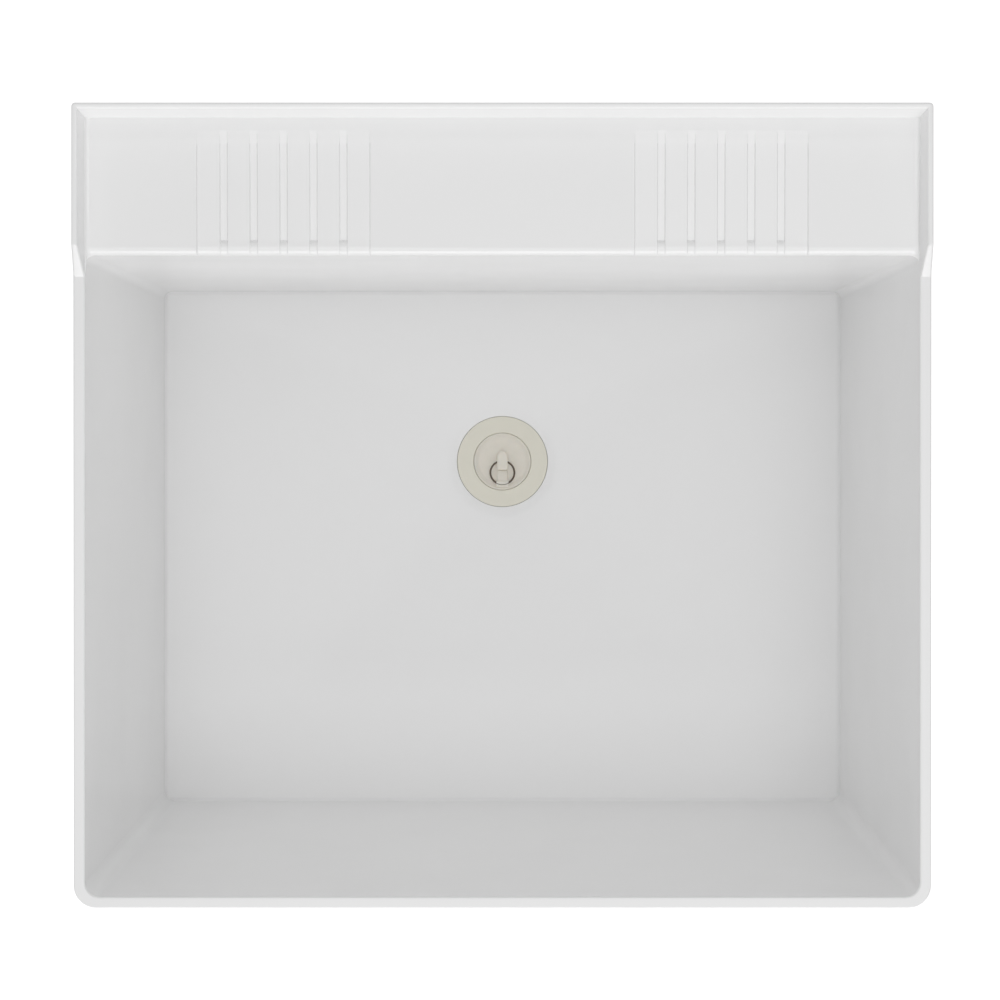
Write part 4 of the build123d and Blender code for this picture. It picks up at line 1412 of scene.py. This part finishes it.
class LAUNDRYTUB_OT_leg_fasteners(bpy.types.Operator):
    """Model the bolts, washers and nuts that hold the legs to the tub's lugs"""

    bl_idname = "laundry_tub.leg_fasteners"
    bl_label = "Leg fasteners"

    def execute(self, context):
        g = context.scene.laundry_legs
        reach = part_sizes("leg_bolts")[2] - g.bolt_head
        bolt = hexagon(g.bolt_flats, 0, g.bolt_head, chamfer_low=False)
        combine(bolt, threaded_rod(g.bolt_radius, g.bolt_pitch, -reach, 0.001, "low"), "UNION")
        half = part_sizes("leg_nuts")[0] / 2
        nut = hexagon(g.bolt_flats, -half, half, g.bolt_radius)
        thin, _, wide = (size / 2 for size in part_sizes("leg_washers"))
        washer = turned(
            "washer", 0, 0, [(g.bolt_hole, -thin), (wide, -thin), (wide, thin), (g.bolt_hole, thin)],
            {1: 0.0003, 2: 0.0003}, steps=48,
        )
        bolts = leg_bolts()
        between_legs = (0, (leg_low.y + rear_leg_high.y) / 2)
        for node, name, pattern in (
            ("leg_bolts", "hex_bolts", bolt),
            ("leg_washers", "flat_washers", washer),
            ("leg_nuts", "hex_nuts", nut),
        ):
            made = []
            for low, high in islands(node):
                place = (low + high) / 2
                axis = min(bolts, key=lambda row: (row[2] - place).length)[3]
                outwards = 1 if place[axis] > between_legs[axis] else -1
                if node == "leg_bolts":
                    place[axis] = (high if outwards > 0 else low)[axis] - outwards * g.bolt_head
                made.append(copied(pattern, along(axis, outwards), place))
            discard(pattern)
            place_piece(joined(made), name, "zinc_steel", "tub_and_legs", node)
        return {"FINISHED"}


def at_each_stud(pattern):
    """Copies of a pattern made on the Z axis, one at each levelling stud, by the leg's corner."""
    made = {corner: copied(pattern, None, (*stud_axis(corner), 0)) for corner in leg_corners}
    discard(pattern)
    return made


class LAUNDRYTUB_OT_levellers(bpy.types.Operator):
    """Model the levelling feet: weld nuts, locknuts, threaded studs and pads"""

    bl_idname = "laundry_tub.levellers"
    bl_label = "Levelling feet"

    def execute(self, context):
        g = context.scene.laundry_legs
        for node, name, chamfer_low in (
            ("leg_weld_nuts", "weld_nuts", False), ("leveller_locknuts", "jam_nuts", True),
        ):
            low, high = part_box(node)
            nut = hexagon(g.nut_flats, low.z, high.z, g.stud_radius + 0.0001, chamfer_low)
            nuts = list(at_each_stud(nut).values())
            place_piece(joined(nuts), name, "zinc_steel", "tub_and_legs", node)

        low, high = (corner.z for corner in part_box("leveller_stud_front_left"))
        pad_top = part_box("leveller_pad_front_left")[1].z
        collar_low = pad_top + 0.0003
        collar_high = collar_low + 0.006
        pivot_r = g.pad_socket - 0.00006
        pivot_low = low + NEAR
        pivot_high = collar_low + 0.002
        stud = threaded_rod(g.stud_radius, g.stud_pitch, collar_high - 0.001, high, "high")
        collar = hexagon(g.stud_flats, collar_low, collar_high)
        pivot = turned(
            "pivot", 0, 0,
            [(0, pivot_low), (pivot_r, pivot_low), (pivot_r, pivot_high), (0, pivot_high)],
            {1: 0.0005}, steps=32,
        )
        combine(collar, pivot, "UNION")
        combine(stud, collar, "UNION")
        pad = turned(
            "pad", 0, 0,
            [(0, 0.0010), (g.pad_radius - 0.0045, 0.0010), (g.pad_radius - 0.0037, 0),
             (g.pad_radius - 0.0006, 0), (g.pad_radius, 0.0007), (g.pad_radius, g.pad_edge),
             (g.pad_neck + 0.0012, pad_top - 0.0022), (g.pad_neck, pad_top),
             (g.pad_socket + 0.0006, pad_top), (g.pad_socket, pad_top - 0.0006),
             (g.pad_socket, low), (0, low)],
            {5: 0.0009, 6: 0.0015, 7: 0.0006}, steps=64,
        )
        for corner, piece in at_each_stud(stud).items():
            place_piece(
                piece, "levelling_stud_" + corner, "zinc_steel", "stud_" + corner, "leveller_stud_" + corner
            )
        for corner, piece in at_each_stud(pad).items():
            place_piece(piece, "foot_pad_" + corner, "pad_grey", "foot_" + corner, "leveller_pad_" + corner)
        return {"FINISHED"}


class LAUNDRYTUB_OT_stage(bpy.types.Operator):
    """Set a white floor, soft studio light and a camera looking straight down"""

    bl_idname = "laundry_tub.stage"
    bl_label = "Stage"

    def execute(self, context):
        scene = context.scene
        settle()
        bpy.ops.mesh.primitive_plane_add(size=9, location=(0, 0, floor_z))
        floor = fixed("studio_floor")
        white, tree, shader = new_material("studio_floor", (0.5, 0.5, 0.5), Roughness=0.9)
        shader.inputs["Emission Color"].default_value = (1, 1, 1, 1)

        # White to the camera without lighting the tub from beneath
        seen = add_node(tree, "ShaderNodeLightPath").outputs["Is Camera Ray"]
        glow = add_node(tree, "ShaderNodeMath", {"operation": "MULTIPLY", 1: floor_glow}, {0: seen})
        tree.links.new(glow.outputs[0], shader.inputs["Emission Strength"])

        # Clear from beneath, so that the underside can be looked at
        clear = add_node(tree, "ShaderNodeBsdfTransparent").outputs[0]
        beneath = add_node(tree, "ShaderNodeNewGeometry").outputs["Backfacing"]
        mix = add_node(tree, "ShaderNodeMixShader", {}, {0: beneath, 1: shader.outputs[0], 2: clear})
        tree.links.new(mix.outputs[0], tree.nodes["Material Output"].inputs["Surface"])
        floor.data.materials.append(white)

        world = bpy.data.worlds.new("studio")
        scene.world = world
        world.use_nodes = True
        sky = world.node_tree.nodes["Background"]
        sky.inputs["Color"].default_value = (1, 1, 1, 1)
        sky.inputs["Strength"].default_value = sky_strength
        for name, place, size, brightness, casts_shadow in studio_lights:
            settle()
            bpy.ops.object.light_add(type="AREA", location=place)
            light = bpy.context.object
            light.name = name
            light.data.shape = "RECTANGLE"
            light.data.use_shadow = casts_shadow
            light.data.size, light.data.size_y = size
            aim = Vector((0, 0, 0.7)) - light.location
            light.data.energy = brightness * math.pi ** 2 * aim.length_squared
            light.rotation_euler = aim.to_track_quat("-Z", "Y").to_euler()
        scene.view_settings.view_transform = "Standard"

        settle()
        height = tub_levels(scene.laundry_tub).rim + camera_height
        bpy.ops.object.camera_add(location=(0, camera_y, height), rotation=(0, 0, 0))
        camera = bpy.context.object
        camera.data.sensor_width = sensor
        camera.data.lens = pixels_per_metre * camera_height * sensor / photo_size
        camera.data.shift_x = 0.5 - photo_middle_x / photo_size
        camera.data.shift_y = photo_level_y / photo_size - 0.5
        scene.camera = camera
        return {"FINISHED"}


# The photograph: straight down, 1000 x 1000 pixels. The scale holds at the rim, and the point
# under the lens lies on the tub's middle line.
photo_size = 1000
pixels_per_metre = 1468.7
photo_middle_x = 502.4
photo_level_y = 425.0
sensor = 36
camera_height = 1.65
camera_y = 0.056

# Just below the feet at their full travel, so that they show in every pose
floor_z = -0.0205
floor_glow = 0.8

# Each light: where it stands, its size, how bright it makes a white sheet that faces it, and
# whether it casts shadows. The top fill lights the bowl's floor and the rear line the roll's edge,
# and the low fills stand for the pale walls of a studio.
sky_strength = 0.49
studio_lights = (
    ("key", (0.4, -1.2, 7.0), (3.4, 3.4), 0.11, True),
    ("front_soft", (0.2, -6.0, 3.6), (4.0, 2.6), 0.25, True),
    ("rear_line", (0.0, 5.2, 6.0), (4.0, 0.4), 0.045, True),
    ("top_fill", (0.0, 0.0, 2.8), (1.5, 1.5), 0.055, False),
    ("front_fill", (0.0, -6.0, 1.2), (4.0, 1.0), 0.095, False),
    ("rear_fill", (0.0, 6.0, 1.2), (4.0, 1.0), 0.025, False),
    ("left_fill", (-6.0, 0.0, 1.2), (4.0, 1.0), 0.02, False),
    ("right_fill", (6.0, 0.0, 1.2), (4.0, 1.0), 0.02, False),
)

operators = (
    LAUNDRYTUB_OT_tub,
    LAUNDRYTUB_OT_drain,
    LAUNDRYTUB_OT_stopper,
    LAUNDRYTUB_OT_pull_ring,
    LAUNDRYTUB_OT_seals,
    LAUNDRYTUB_OT_waste,
    LAUNDRYTUB_OT_legs,
    LAUNDRYTUB_OT_leg_fasteners,
    LAUNDRYTUB_OT_levellers,
    LAUNDRYTUB_OT_stage,
)


class LAUNDRYTUB_PT_panel(bpy.types.Panel):
    """Buttons for the pieces, and the sizes and colours they use"""

    bl_idname = "LAUNDRYTUB_PT_panel"
    bl_label = "Laundry tub"
    bl_space_type = "VIEW_3D"
    bl_region_type = "UI"
    bl_category = "Laundry tub"

    def draw(self, context):
        for operator in operators:
            self.layout.operator(operator.bl_idname)
        for key in groups:
            group = getattr(context.scene, key)
            for name in group.__annotations__:
                self.layout.prop(group, name)


groups = {
    "laundry_tub": TubSizes,
    "laundry_drain": DrainSizes,
    "laundry_legs": LegSizes,
    "laundry_finishes": TubFinishes,
}
classes = (*groups.values(), *operators, LAUNDRYTUB_PT_panel)


def register():
    for item in classes:
        bpy.utils.register_class(item)
    for key, group in groups.items():
        setattr(bpy.types.Scene, key, PointerProperty(type=group))


def unregister():
    for key in groups:
        delattr(bpy.types.Scene, key)
    for item in reversed(classes):
        bpy.utils.unregister_class(item)


def main():
    """Register the add-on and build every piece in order."""
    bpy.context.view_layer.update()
    register()
    for row in frame["record"]["subparts"]:
        dress(frame["nodes"][row["node"]], row["material_slot"])
    for operator in operators:
        group, name = operator.bl_idname.split(".")
        getattr(getattr(bpy.ops, group), name)()


if __name__ == "__main__":
    main()
